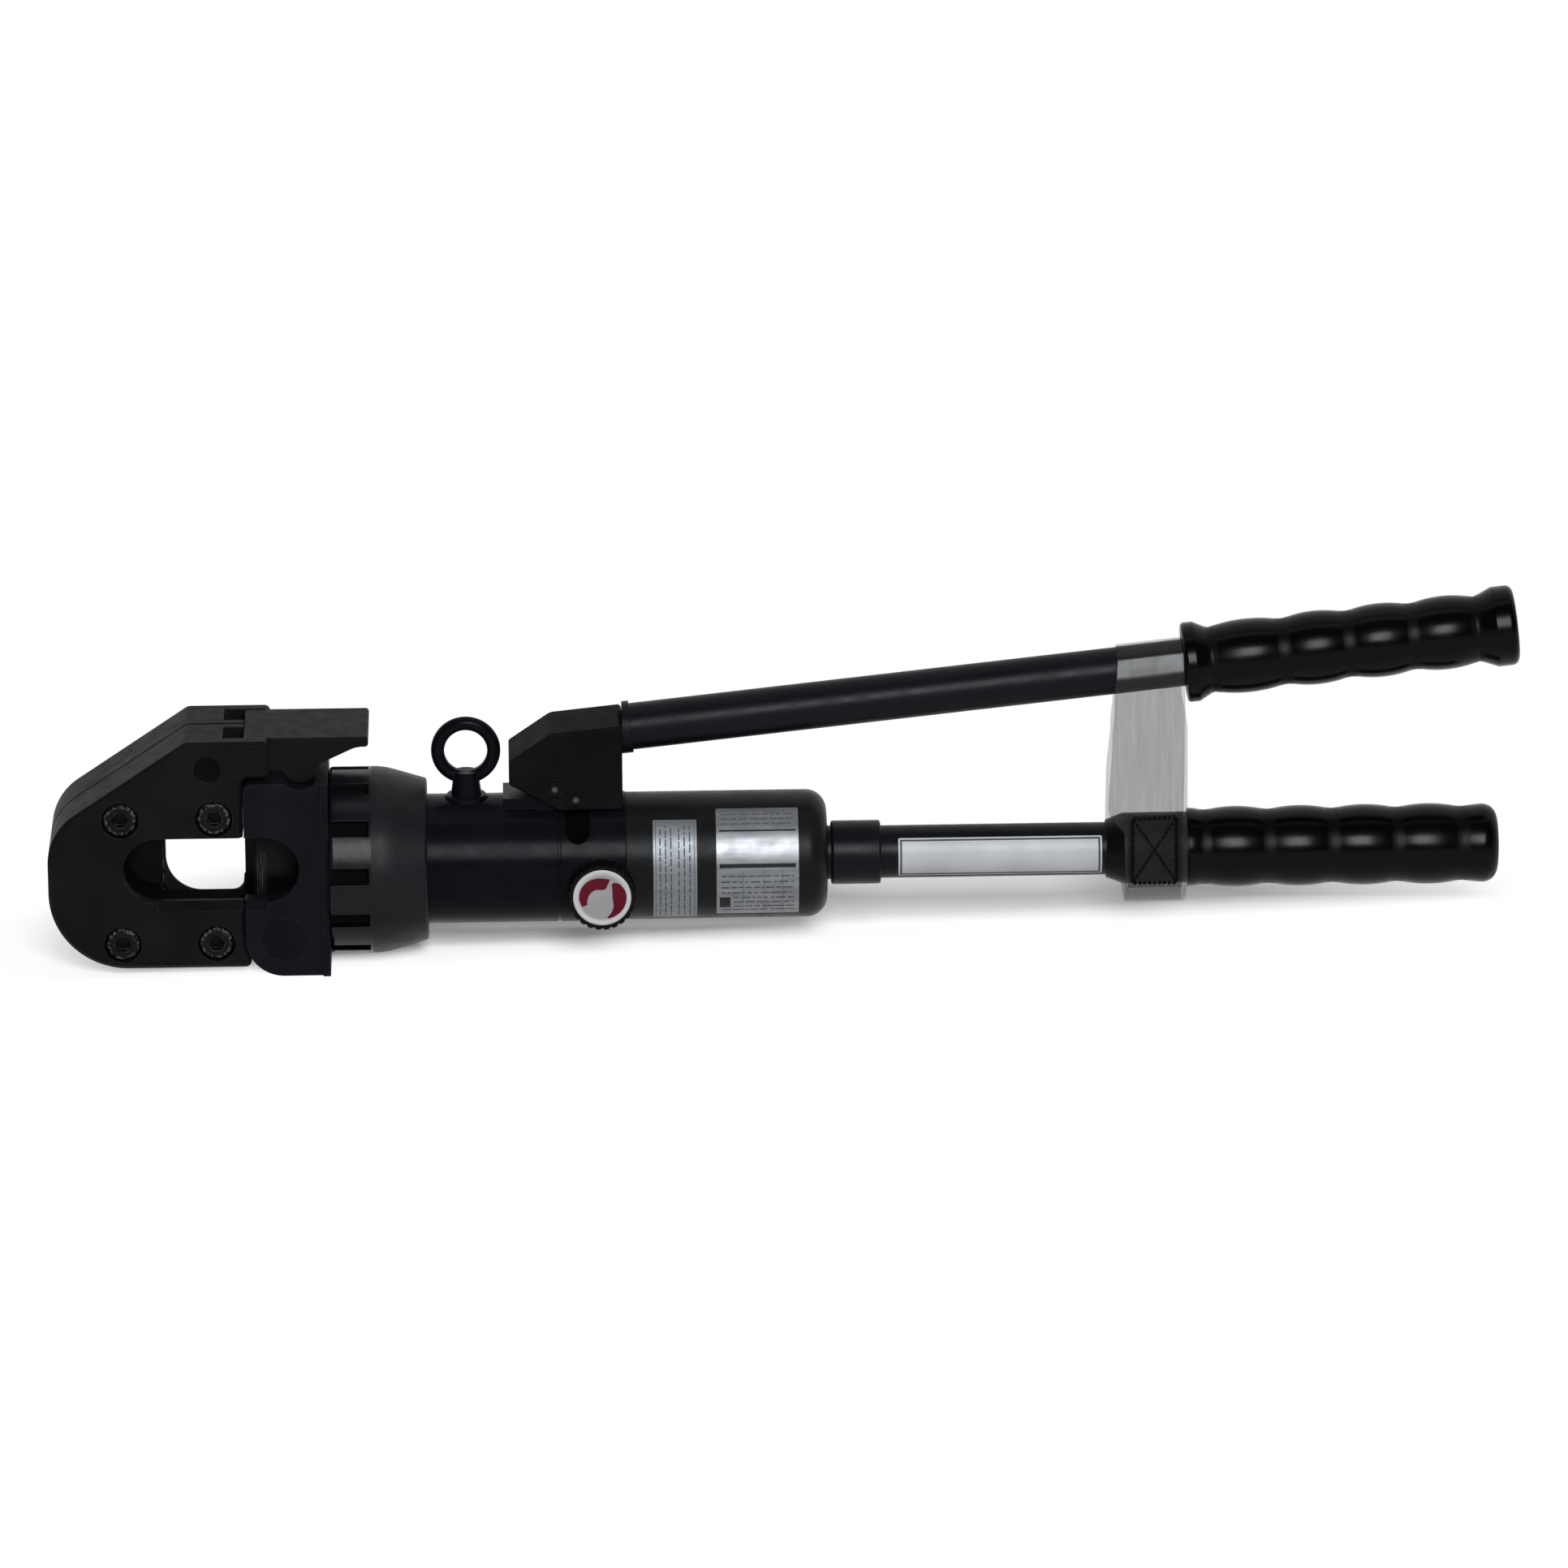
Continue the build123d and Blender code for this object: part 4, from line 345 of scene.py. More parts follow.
def blade_material():
    """Dark moving blade, scratched along its cutting edge, with painted shade over its lower part."""
    material = painted("blade_black", (0.0052, 0.0052, 0.0058), (0.0080, 0.0080, 0.0088),
                       rough=0.34, specular=0.06, grain=1200.0, depth=0.00004, wear=(0.10, 0.10, 0.10))
    tree = material.node_tree
    lines = noise(tree, 1700.0, detail=2.0, stretch=(1.0, 1.0, 0.05))
    scratches = spread(tree, lines, 0.0, 1.0, *SCRATCH_RANGE)
    edge = inside(tree, BLADE_EDGE_BOX, soft=0.0016)
    recolour(material, arithmetic(tree, "MULTIPLY", scratches, edge), (0.052, 0.052, 0.055))
    off_edge = spread(tree, edge, 1.0, 0.0, 0.0, 1.0)
    # Painted shade: below the scratched edge, the blade's lower part is darkened and dulled.
    below = arithmetic(tree, "MULTIPLY", inside(tree, BLADE_LOWER_BOX, soft=0.004), off_edge)
    recolour(material, below, (0.0008, 0.0008, 0.0009))
    dulled(material, below)
    return material


SCREW_RIM = (0.0049, 0.0056)
SCREW_SOCKET = (0.0026, 0.0032)
KNURL_RANGE = (0.47, 0.60)


def screw_material():
    """Black cap screw with a paler knurled rim and painted shade in its hexagon socket."""
    material = painted("screw_black", (0.0025, 0.0025, 0.0027), (0.0060, 0.0060, 0.0062),
                       rough=0.36, specular=0.08, grain=1200.0, depth=0.00012, wear=(0.07, 0.07, 0.07))
    tree = material.node_tree
    reach = None
    for x, z in SCREW_PLACES:
        distance = radius_from(tree, x, z, "y")
        reach = distance if reach is None else arithmetic(tree, "MINIMUM", reach, distance)
    rim = spread(tree, reach, 0.0, 1.0, *SCREW_RIM)
    ridges = spread(tree, noise(tree, 650.0, detail=2.0), 0.0, 1.0, *KNURL_RANGE)
    recolour(material, arithmetic(tree, "MULTIPLY", rim, ridges), (0.085, 0.085, 0.088))
    # Painted shade: the hexagon socket is darkened.
    recolour(material, spread(tree, reach, 1.0, 0.0, *SCREW_SOCKET), (0.0006, 0.0006, 0.0007))
    return material


PIN_CENTRE = (0.0008, 0.0014)


def pin_material(name, x, z):
    """Black pin with a small bright dot painted at its centre."""
    material = painted(name, (0.0027, 0.0027, 0.0029), (0.0048, 0.0048, 0.0051), rough=0.4, specular=0.053)
    tree = material.node_tree
    centre = spread(tree, radius_from(tree, x, z, "y"), 1.0, 0.0, *PIN_CENTRE)
    recolour(material, centre, (0.075, 0.075, 0.077))
    return material


COLLAR_LAND_END = 131.0
COLLAR_LAND_FADE = 0.0004
COLLAR_LAND_SMOOTHER = -0.19
COLLAR_SLOT = (0.0347, 0.0362)
COLLAR_SLOT_FADE = 0.0002
COLLAR_LOWER_Z = (-15.0, -7.0)


def collar_material():
    """Black ring nut with painted shade in its spanner slots and on its lower side; its land on the left is
    smoother.
    """
    material = painted("collar_black", (0.0040, 0.0045, 0.0056), (0.0068, 0.0075, 0.0090),
                       rough=0.44, specular=0.135, grain=600.0, depth=0.00004)
    tree = material.node_tree
    rough = tree.nodes["Principled BSDF"].inputs["Roughness"]
    x, _, z = split_vector(tree, object_place(tree))
    end = place(COLLAR_LAND_END, 0, 0).x
    smoother = spread(tree, x, COLLAR_LAND_SMOOTHER, 0.0, end - COLLAR_LAND_FADE, end + COLLAR_LAND_FADE)
    tree.links.new(arithmetic(tree, "ADD", rough.links[0].from_socket, smoother), rough)
    slot = spread(tree, radius_from(tree, 0, 0, "x"), 1.0, 0.0, *COLLAR_SLOT)
    painted_slot_shade = arithmetic(tree, "MULTIPLY", slot, spread(tree, x, 1.0, 0.0, end - COLLAR_SLOT_FADE, end))
    # Painted shade: the ring nut's lower side is darkened, and its spanner slots are darkened and dulled.
    lower = [place(0, 0, height).z for height in COLLAR_LOWER_Z]
    recolour(material, spread(tree, z, 1.0, 0.0, *lower), (0.0012, 0.0011, 0.0010))
    recolour(material, painted_slot_shade, (0.0005, 0.0005, 0.0006))
    dulled(material, painted_slot_shade)
    return material


GROOVE_FRONT_BOX = ((200.0, -40.0, 5.0), (230.0, -8.0, 40.0))
GROOVE_BOX = ((209.1, -40.0, 17.4), (220.0, -8.0, 40.0))
GROOVE_END_PLACE = (214.6, 17.6)
GROOVE_END = (0.0049, 0.0055)


def body_material():
    """Smooth black pump body, with painted shade in the groove below the drive pin."""
    material = painted("body_black", (0.0024, 0.0028, 0.0040), (0.0042, 0.0048, 0.0063),
                       rough=0.26, specular=0.036, grain=500.0, depth=0.00003)
    tree = material.node_tree
    front = inside(tree, GROOVE_FRONT_BOX, soft=0.0005)
    column = inside(tree, GROOVE_BOX, soft=0.0006)
    end = spread(tree, radius_from(tree, *GROOVE_END_PLACE, "y"), 1.0, 0.0, *GROOVE_END)
    groove = arithmetic(tree, "MULTIPLY", front, arithmetic(tree, "MAXIMUM", column, end))
    # Painted shade: the groove below the drive pin is darkened and dulled.
    recolour(material, groove, (0.0010, 0.0010, 0.0011))
    dulled(material, groove)
    return material


DISC_RIM = (0.0090, 0.0102)


def disc_material():
    """Printed white disc, greyer inside its rim."""
    material = moulded("knob_white", (0.28, 0.267, 0.267), (0.36, 0.343, 0.343), rough=0.35, specular=0.16)
    tree = material.node_tree
    rim = spread(tree, radius_from(tree, *KNOB_PLACE, "y"), 0.0, 1.0, *DISC_RIM)
    recolour(material, rim, (0.53, 0.51, 0.51))
    return material


# Materials by the record's slots, and those of single nodes and of the scene's own pieces

MATERIALS = {
    "head_black": head_material(),
    "screw_black": screw_material(),
    "tool_steel": painted("tool_steel", (0.0032, 0.0032, 0.0033), (0.0058, 0.0058, 0.0060),
                          rough=0.34, specular=0.06, grain=1200.0, depth=0.00004, wear=(0.19, 0.19, 0.19)),
    "pin_steel": painted("pin_steel", (0.0019, 0.0019, 0.0020), (0.0032, 0.0032, 0.0033),
                         rough=0.45, specular=0.027),
    "spring_steel": brushed("spring_steel", (0.22, 0.22, 0.23), (0.34, 0.34, 0.35), rough=0.35),
    "yoke_black": painted("yoke_black", (0.0042, 0.0049, 0.0064), (0.0070, 0.0078, 0.0098),
                          rough=0.42, specular=0.042, grain=700.0, depth=0.00008, edge=0.0005,
                          wear=(0.017, 0.0185, 0.021)),
    "body_black": body_material(),
    "ground_chrome": brushed("ground_chrome", (0.45, 0.45, 0.46), (0.55, 0.55, 0.56),
                             rough=0.18, stretch=(12.0, 1.0, 1.0)),
    "bush_bronze": brushed("bush_bronze", (0.40, 0.25, 0.09), (0.52, 0.35, 0.14), rough=0.3),
    "seal_rubber": moulded("seal_rubber", (0.006, 0.006, 0.006), (0.010, 0.010, 0.010),
                           rough=0.6, specular=0.1),
    "tank_black": painted("tank_black", (0.0053, 0.0053, 0.0056), (0.0086, 0.0086, 0.0089),
                          rough=0.38, specular=0.078, grain=800.0, depth=0.00008),
    "tube_black": painted("tube_black", (0.0026, 0.0030, 0.0043), (0.0043, 0.0049, 0.0065),
                          rough=0.38, specular=0.095, grain=500.0, depth=0.00003),
    "grip_black": grip_material("grip_black", (0, 0), 0.0, LOWER_GRIP_WAIST),
    "knob_black": moulded("knob_black", (0.0027, 0.0027, 0.0027), (0.0045, 0.0045, 0.0045),
                          rough=0.3, specular=0.067),
    "knob_white": disc_material(),
    "plate_silver": foil("plate_silver", (0.158, 0.163, 0.170), (0.232, 0.238, 0.245), rough=0.40),
    "strap_grey": film("strap_grey", (0.012, 0.012, 0.012), (0.021, 0.021, 0.0205), bending=1.55),
}
NODE_MATERIALS = {
    "collar_nut": collar_material(),
    "upper_grip": grip_material("upper_grip_black", TUBE_START, TUBE_TILT, UPPER_GRIP_WAIST),
    "lever_bracket": painted("bracket_black", (0.0046, 0.0046, 0.0053), (0.0082, 0.0082, 0.0092),
                             rough=0.46, specular=0.008, grain=700.0, depth=0.00008, edge=0.0005,
                             wear=(0.017, 0.017, 0.0185)),
    "fulcrum_pin": pin_material("fulcrum_pin_black", *FULCRUM_PLACE),
    "drive_pin": pin_material("drive_pin_black", *DRIVE_PLACE),
    "hinge_pin": painted("hinge_pin_black", (0.0034, 0.0038, 0.0048), (0.0056, 0.0062, 0.0077),
                         rough=0.44, specular=0.035, grain=700.0, depth=0.00008,
                         wear=(0.020, 0.021, 0.024)),
    "moving_blade": blade_material(),
    "pin_clips": painted("clip_black", (0.0027, 0.0027, 0.0029), (0.0045, 0.0045, 0.0048),
                         rough=0.4, specular=0.053),
    # Painted shade: the recessed relief screw is near black, so that it reads as a hole.
    "relief_screw": painted("relief_screw_painted_shade", (0.0008, 0.0008, 0.0009), (0.0015, 0.0015, 0.0016),
                            rough=0.6, specular=0.013),
    "nameplate": moulded("plate_white", (0.43, 0.43, 0.44), (0.54, 0.54, 0.55), rough=0.35, specular=0.15),
    "side_label": foil("label_pale", (0.160, 0.172, 0.182), (0.219, 0.232, 0.243), rough=0.48),
}
PRINT_DARK = moulded("print_dark", (0.008, 0.0087, 0.0107), (0.0133, 0.014, 0.016),
                     rough=0.45, specular=0.15)
PRINT_GREY = moulded("print_grey", (0.053, 0.057, 0.064), (0.093, 0.097, 0.105), rough=0.5, specular=0.1)
PRINT_RED = moulded("print_red", (0.085, 0.0045, 0.012), (0.120, 0.0075, 0.018), rough=0.38, specular=0.08)
PATCH = film("patch_grey", (0.007, 0.007, 0.0073), (0.012, 0.012, 0.0124), bending=1.3)
THREAD = moulded("thread_dark", (0.0014, 0.0014, 0.0016), (0.0028, 0.0028, 0.0031),
                 rough=0.6, specular=0.04, grain=3000.0, depth=0.0001)

for entry in frame["record"]["subparts"]:
    slots = NODES[entry["node"]].data.materials
    slots.clear()
    slots.append(NODE_MATERIALS.get(entry["node"], MATERIALS[entry["material_slot"]]))


# Mesh pieces

def mesh_piece(name, points, faces, material, smooth=True):
    """Object from points in metres; faces wind outwards."""
    mesh = bpy.data.meshes.new(name)
    mesh.from_pydata([tuple(p) for p in points], [], faces)
    mesh.materials.append(material)
    mesh.validate()
    for polygon in mesh.polygons:
        polygon.use_smooth = smooth
    piece = bpy.data.objects.new(name, mesh)
    bpy.context.scene.collection.objects.link(piece)
    return piece


def sheet_shell(rows, columns, point, thickness, closed=False):
    """Closed shell over a grid; point(i, j) gives a middle point and its outward normal."""
    outer, inner = [], []
    for i in range(rows):
        for j in range(columns):
            middle, normal = point(i, j)
            outer.append(middle + normal * thickness / 2)
            inner.append(middle - normal * thickness / 2)
    points = outer + inner
    half = len(outer)
    faces = []
    last = rows if closed else rows - 1
    for i in range(last):
        k = (i + 1) % rows
        for j in range(columns - 1):
            a, b, c, d = i * columns + j, i * columns + j + 1, k * columns + j + 1, k * columns + j
            faces.append((a, d, c, b))
            faces.append((half + a, half + b, half + c, half + d))
        for j, first in ((0, True), (columns - 1, False)):
            a, d = i * columns + j, k * columns + j
            faces.append((a, half + a, half + d, d) if first else (a, d, half + d, half + a))
    if not closed:
        for j in range(columns - 1):
            a, b = j, j + 1
            faces.append((a, b, half + b, half + a))
            a, b = (rows - 1) * columns + j, (rows - 1) * columns + j + 1
            faces.append((b, a, half + a, half + b))
    return points, faces


def strip_faces(first, stations):
    """Faces of a closed flat bar with four points at each station: two in front and two behind them."""
    faces = []
    for k in range(stations - 1):
        a, b = first + 4 * k, first + 4 * k + 4
        faces.append((a, a + 1, b + 1, b))
        faces.append((a + 2, b + 2, b + 3, a + 3))
        faces.append((a + 1, a + 3, b + 3, b + 1))
        faces.append((a, b, b + 2, a + 2))
    end = first + 4 * (stations - 1)
    faces.append((first, first + 2, first + 3, first + 1))
    faces.append((end, end + 1, end + 3, end + 2))
    return faces


# Strap: a band round both handles, pulled straight between them

STRAP_UPPER_RADIUS = 10.3
STRAP_LOWER_RADIUS = 17.0
STRAP_LOWER_Z = -5.0
STRAP_THICKNESS = 0.7
STRAP_MIDDLE_X = 445.2
TUBE_SLOPE = math.tan(math.radians(TUBE_TILT))


def tube_z(x):
    """Height of the pump handle's axis."""
    return TUBE_START[1] + (x - TUBE_START[0]) * TUBE_SLOPE


STRAP_RISE = tube_z(STRAP_MIDDLE_X) - STRAP_LOWER_Z
STRAP_LEAN = math.asin((STRAP_UPPER_RADIUS - STRAP_LOWER_RADIUS) / STRAP_RISE)
STRAP_RUN = STRAP_RISE * math.cos(STRAP_LEAN)
UPPER_HALF = STRAP_UPPER_RADIUS * (math.pi / 2 - STRAP_LEAN)
LOWER_WRAP = STRAP_LOWER_RADIUS * (math.pi + 2 * STRAP_LEAN)
STRAP_LENGTH = 2 * UPPER_HALF + 2 * STRAP_RUN + LOWER_WRAP

# Distances from the loop's top at which the front run starts and ends, and the back run likewise
FRONT_START = UPPER_HALF
FRONT_END = UPPER_HALF + STRAP_RUN
BACK_START = UPPER_HALF + STRAP_RUN + LOWER_WRAP
BACK_END = UPPER_HALF + 2 * STRAP_RUN + LOWER_WRAP

# Distance from the top, left edge and right edge, along the loop
STRAP_EDGES = (
    (0.0, 434.0, 461.3),
    (FRONT_START + 13.0, 432.7, 461.4),
    (FRONT_START + 24.0, 431.9, 462.3),
    (FRONT_START + 54.0, 430.2, 462.4),
    (FRONT_START + 66.0, 436.8, 462.4),
    (FRONT_END, 437.0, 462.4),
    (FRONT_END + 0.5 * LOWER_WRAP, 437.6, 461.3),
    (BACK_START, 436.6, 462.2),
    (BACK_START + 14.0, 430.8, 463.0),
    (BACK_END - 48.0, 431.0, 463.1),
    (BACK_END - 24.0, 432.6, 463.0),
    (BACK_END - 13.0, 433.4, 461.4),
    (STRAP_LENGTH, 434.0, 461.3),
)


def strap_edges(s):
    """Left and right edge of the band at a distance from its top."""
    for (s0, l0, r0), (s1, l1, r1) in zip(STRAP_EDGES, STRAP_EDGES[1:]):
        if s <= s1:
            t = (s - s0) / (s1 - s0)
            t = t * t * (3 - 2 * t)
            return l0 + (l1 - l0) * t, r0 + (r1 - r0) * t
    return STRAP_EDGES[-1][1:]


# The stiff film lies in two flat facets over the front of the tube.
FACET_ANGLES = (math.radians(20.0), math.radians(64.0))
FACET_HALF = math.radians(22.0)


def upper_wrap(angle):
    """Radius and normal angle of the loop round the upper tube at an angle above the front."""
    for facet in FACET_ANGLES:
        if angle < facet + FACET_HALF:
            return STRAP_UPPER_RADIUS / math.cos(angle - facet), facet
    return STRAP_UPPER_RADIUS, angle


def strap_path(s):
    """Side, height, normal and lift share of the loop's middle line, from its top down the front."""
    lean = STRAP_LEAN
    if s < UPPER_HALF or s > STRAP_LENGTH - UPPER_HALF:
        along = s if s < UPPER_HALF else s - STRAP_LENGTH
        angle = math.pi / 2 - along / STRAP_UPPER_RADIUS
        radius, facing = upper_wrap(angle)
        y, z = -radius * math.cos(angle), STRAP_RISE + radius * math.sin(angle)
        return y, z, (-math.cos(facing), math.sin(facing)), 1.0
    s -= UPPER_HALF
    front = s < STRAP_RUN + LOWER_WRAP / 2
    if STRAP_RUN < s < STRAP_RUN + LOWER_WRAP:
        angle = lean - (s - STRAP_RUN) / STRAP_LOWER_RADIUS
        normal = (-math.cos(angle), math.sin(angle))
        return STRAP_LOWER_RADIUS * normal[0], STRAP_LOWER_RADIUS * normal[1], normal, 0.0
    side = -1 if front else 1
    normal = (side * math.cos(lean), math.sin(lean))
    down = s / STRAP_RUN if front else 1 - (s - STRAP_RUN - LOWER_WRAP) / STRAP_RUN
    radius = upper_wrap(lean)[0] if front else STRAP_UPPER_RADIUS
    start = (radius * normal[0], STRAP_RISE + radius * normal[1])
    end = (STRAP_LOWER_RADIUS * normal[0], STRAP_LOWER_RADIUS * normal[1])
    return start[0] + (end[0] - start[0]) * down, start[1] + (end[1] - start[1]) * down, normal, 1 - down


def strap_point(s, across, lift):
    """Point lifted off the band's middle, and its normal; across is 0 at the left edge, 1 at the right."""
    y, z, normal, share = strap_path(s)
    left, right = strap_edges(s)
    x = left + (right - left) * across
    z += STRAP_LOWER_Z + share * (x - STRAP_MIDDLE_X) * TUBE_SLOPE
    return place(x, y + lift * normal[0], z + lift * normal[1]), Vector((0, normal[0], normal[1]))


def strap_share(s, x):
    """Share of the band's width at which it lies at x."""
    left, right = strap_edges(s)
    return (x - left) / (right - left)


BAND_ROWS = 220
BAND_COLUMNS = (0.0, 0.02, 0.05, 0.075, 0.1, 0.2, 0.32, 0.5, 0.68, 0.8, 0.9, 0.925, 0.95, 0.98, 1.0)
RIPPLE = 0.25
RIPPLE_TURN_DOWN, RIPPLE_TURN_ACROSS = 7.0, 3.0


def strap_band():
    """The band itself, with a slight ripple in its straight runs."""

    def point(i, j):
        s = STRAP_LENGTH * i / BAND_ROWS
        across = BAND_COLUMNS[j]
        share = strap_path(s)[3]
        run = 4 * share * (1 - share)
        ripple = RIPPLE * run * math.sin(RIPPLE_TURN_DOWN * share + RIPPLE_TURN_ACROSS * across)
        return strap_point(s, across, ripple)

    points, faces = sheet_shell(BAND_ROWS, len(BAND_COLUMNS), point, STRAP_THICKNESS / 1000, closed=True)
    band = mesh_piece("strap_band", points, faces, MATERIALS["strap_grey"])
    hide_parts("strap")
    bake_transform(band)
    return band


PATCH_START = FRONT_END - 26.0
PATCH_LENGTH = 31.0
PATCH_X = (438.3, 460.2)
PATCH_ROWS, PATCH_COLUMNS = 40, 9
PATCH_LIFT = STRAP_THICKNESS + 0.04


def strap_patch():
    """Doubled end of the band, sewn on over the lower handle."""

    def point(i, j):
        s = PATCH_START + PATCH_LENGTH * i / (PATCH_ROWS - 1)
        x = PATCH_X[0] + (PATCH_X[1] - PATCH_X[0]) * j / (PATCH_COLUMNS - 1)
        return strap_point(s, strap_share(s, x), PATCH_LIFT)

    points, faces = sheet_shell(PATCH_ROWS, PATCH_COLUMNS, point, STRAP_THICKNESS / 1000)
    patch = mesh_piece("strap_patch", points, faces, PATCH)
    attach(patch, "frame")
    return patch


STITCH_X = (440.0, 457.9)
STITCH_TOP = PATCH_START + 2.0
STITCH_BOTTOM = PATCH_START + PATCH_LENGTH - 2.4
STITCH_LIFT = 1.5 * STRAP_THICKNESS + 0.06
STITCH_PITCH = 2.1
STITCH_ENDS = (0.12, 0.88)
BOX_STITCH_RADIUS = 0.00080
CROSS_STITCH_RADIUS = 0.00055
STITCH_HEIGHT_SHARE = 0.5
STITCH_SIDES = 8
# Share of the stitch's length and of its radius
STITCH_RINGS = ((0.0, 0.35), (0.12, 0.85), (0.5, 1.0), (0.88, 0.85), (1.0, 0.35))


def stitch(points, faces, start, end, normal, radius):
    """Adds one thread stitch: a short rounded bar lying on the band."""
    along = (end - start).normalized()
    side = normal.cross(along).normalized()
    first = len(points)
    for share, scale in STITCH_RINGS:
        middle = start.lerp(end, share) + normal * radius * STITCH_HEIGHT_SHARE
        for k in range(STITCH_SIDES):
            angle = 2 * math.pi * k / STITCH_SIDES
            points.append(middle + (side * math.cos(angle) + normal * math.sin(angle)) * radius * scale)
    last = len(STITCH_RINGS) - 1
    for ring in range(last):
        for k in range(STITCH_SIDES):
            a = first + ring * STITCH_SIDES + k
            b = first + ring * STITCH_SIDES + (k + 1) % STITCH_SIDES
            faces.append((a, a + STITCH_SIDES, b + STITCH_SIDES, b))
    faces.append(tuple(first + k for k in range(STITCH_SIDES)))
    faces.append(tuple(first + last * STITCH_SIDES + k for k in reversed(range(STITCH_SIDES))))


def strap_stitches():
    """Box of stitches with a cross in it, through the doubled end."""
    points, faces = [], []
    (low, high), top, bottom = STITCH_X, STITCH_TOP, STITCH_BOTTOM
    box = (((low, top), (high, top)), ((high, top), (high, bottom)),
           ((high, bottom), (low, bottom)), ((low, bottom), (low, top)))
    cross = (((low, top), (high, bottom)), ((high, top), (low, bottom)))
    for lines, radius in ((box, BOX_STITCH_RADIUS), (cross, CROSS_STITCH_RADIUS)):
        for (x0, s0), (x1, s1) in lines:
            count = round(math.hypot(x1 - x0, s1 - s0) / STITCH_PITCH)
            for k in range(count):
                ends = []
                for t in ((k + share) / count for share in STITCH_ENDS):
                    s = s0 + (s1 - s0) * t
                    ends.append(strap_point(s, strap_share(s, x0 + (x1 - x0) * t), STITCH_LIFT))
                (start, normal), (end, _) = ends
                stitch(points, faces, start, end, normal, radius)
    thread = mesh_piece("strap_stitches", points, faces, THREAD)
    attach(thread, "frame")
    return thread


strap_band()
strap_patch()
strap_stitches()


# Release knob's printed face

KNOB_FACE_Y = -37.0
KNOB_BACK_Y = -36.2
DISC_RADIUS = 11.8
DISC_SECTORS = 96
DISC_CENTRE_Y = KNOB_FACE_Y + 0.10
# Radius and y of the disc's rings, from its face over the raised rim to its back
DISC_RINGS = ((8.0, KNOB_FACE_Y + 0.12), (10.1, KNOB_FACE_Y + 0.16), (10.3, KNOB_FACE_Y + 0.02),
              (11.4, KNOB_FACE_Y + 0.02), (DISC_RADIUS, KNOB_FACE_Y + 0.25), (DISC_RADIUS, KNOB_BACK_Y))


def knob_point(radius, clock, y):
    """Point on the knob's face; the angle runs clockwise from the top as seen from the front."""
    angle = math.radians(clock)
    return place(KNOB_PLACE[0] + radius * math.sin(angle), y, KNOB_PLACE[1] + radius * math.cos(angle))


def knob_disc():
    """White disc with a raised rim, flush in the knob."""
    points, faces = [knob_point(0.0, 0, DISC_CENTRE_Y)], []
    for radius, y in DISC_RINGS:
        points.extend(knob_point(radius, 360 * k / DISC_SECTORS, y) for k in range(DISC_SECTORS))
    points.append(knob_point(0.0, 0, KNOB_BACK_Y))
    last = len(points) - 1
    for k in range(DISC_SECTORS):
        n = (k + 1) % DISC_SECTORS
        faces.append((0, 1 + n, 1 + k))
        for ring in range(len(DISC_RINGS) - 1):
            a, b = 1 + ring * DISC_SECTORS + k, 1 + ring * DISC_SECTORS + n
            faces.append((a, b, b + DISC_SECTORS, a + DISC_SECTORS))
        back = 1 + (len(DISC_RINGS) - 1) * DISC_SECTORS
        faces.append((last, back + k, back + n))
    disc = mesh_piece("knob_disc", points, faces, MATERIALS["knob_white"])
    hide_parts("knob_label")
    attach(disc, "release")


ARROW_FRONT_Y = KNOB_FACE_Y + 0.03
ARROW_BACK_Y = KNOB_FACE_Y + 0.2
ARROW_STEPS = 6
# Inner radius, outer radius and clock angle along each arrow
ARROWS = {
    "knob_arrow_left": ((6.6, 8.8, -115), (5.9, 9.3, -95), (5.1, 9.4, -70), (4.4, 9.1, -45), (3.7, 8.6, -22),
                        (3.2, 8.2, 0), (3.5, 8.2, 12), (4.3, 8.3, 23)),
    "knob_arrow_right": ((6.6, 7.8, 36), (5.3, 9.1, 50), (4.4, 9.7, 70), (4.1, 9.9, 90), (4.6, 9.8, 110),
                         (5.9, 9.6, 130), (7.3, 9.3, 150), (8.5, 9.1, 166)),
}


def between(stations, steps):
    """Stations filled in evenly between the given ones."""
    filled = []
    for first, second in zip(stations, stations[1:]):
        for k in range(steps):
            filled.append(tuple(a + (b - a) * k / steps for a, b in zip(first, second)))
    return filled + [stations[-1]]


def knob_arrows():
    """Two red turning arrows round the disc, one with a blunt head and one that tapers."""
    for name, corners in ARROWS.items():
        stations = between(corners, ARROW_STEPS)
        points = [knob_point(radius, angle, y) for inner, outer, angle in stations
                  for y in (ARROW_FRONT_Y, ARROW_BACK_Y) for radius in (inner, outer)]
        arrow = mesh_piece(name, points, strip_faces(0, len(stations)), PRINT_RED, smooth=False)
        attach(arrow, "release")


knob_disc()
knob_arrows()


# Printed rules on the labels, without lettering

LABEL_SKIN = 0.45
TANK_LABEL_RADIUS = 26.0 + LABEL_SKIN
NAMEPLATE_RADIUS = 10.75 + LABEL_SKIN
# Half the thickness of a printed rule; rules that cross others stand out a little more.
RULE_SKIN, FRAME_SIDE_SKIN, COLUMN_SKIN = 0.03, 0.032, 0.034
RULE_STEP = 2
SHORTEST_BAR = 0.8
ROW_BAR, ROW_GAP = (1.2, 4.2), (0.5, 1.1)
COLUMN_BAR, COLUMN_GAP = (1.2, 4.6), (0.5, 1.2)


def wrapped_rule(points, faces, radius, x_span, angle_span, skin=RULE_SKIN):
    """Adds a thin raised strip on a cylinder round the tool's axis; angles are in degrees above the front."""
    first = len(points)
    steps = max(2, round(abs(angle_span[1] - angle_span[0]) / RULE_STEP) + 1)
    for k in range(steps):
        angle = math.radians(angle_span[0] + (angle_span[1] - angle_span[0]) * k / (steps - 1))
        for r in (radius + skin, radius - skin):
            for x in x_span:
                points.append(place(x, -r * math.cos(angle), r * math.sin(angle)))
    faces.extend(strip_faces(first, steps))


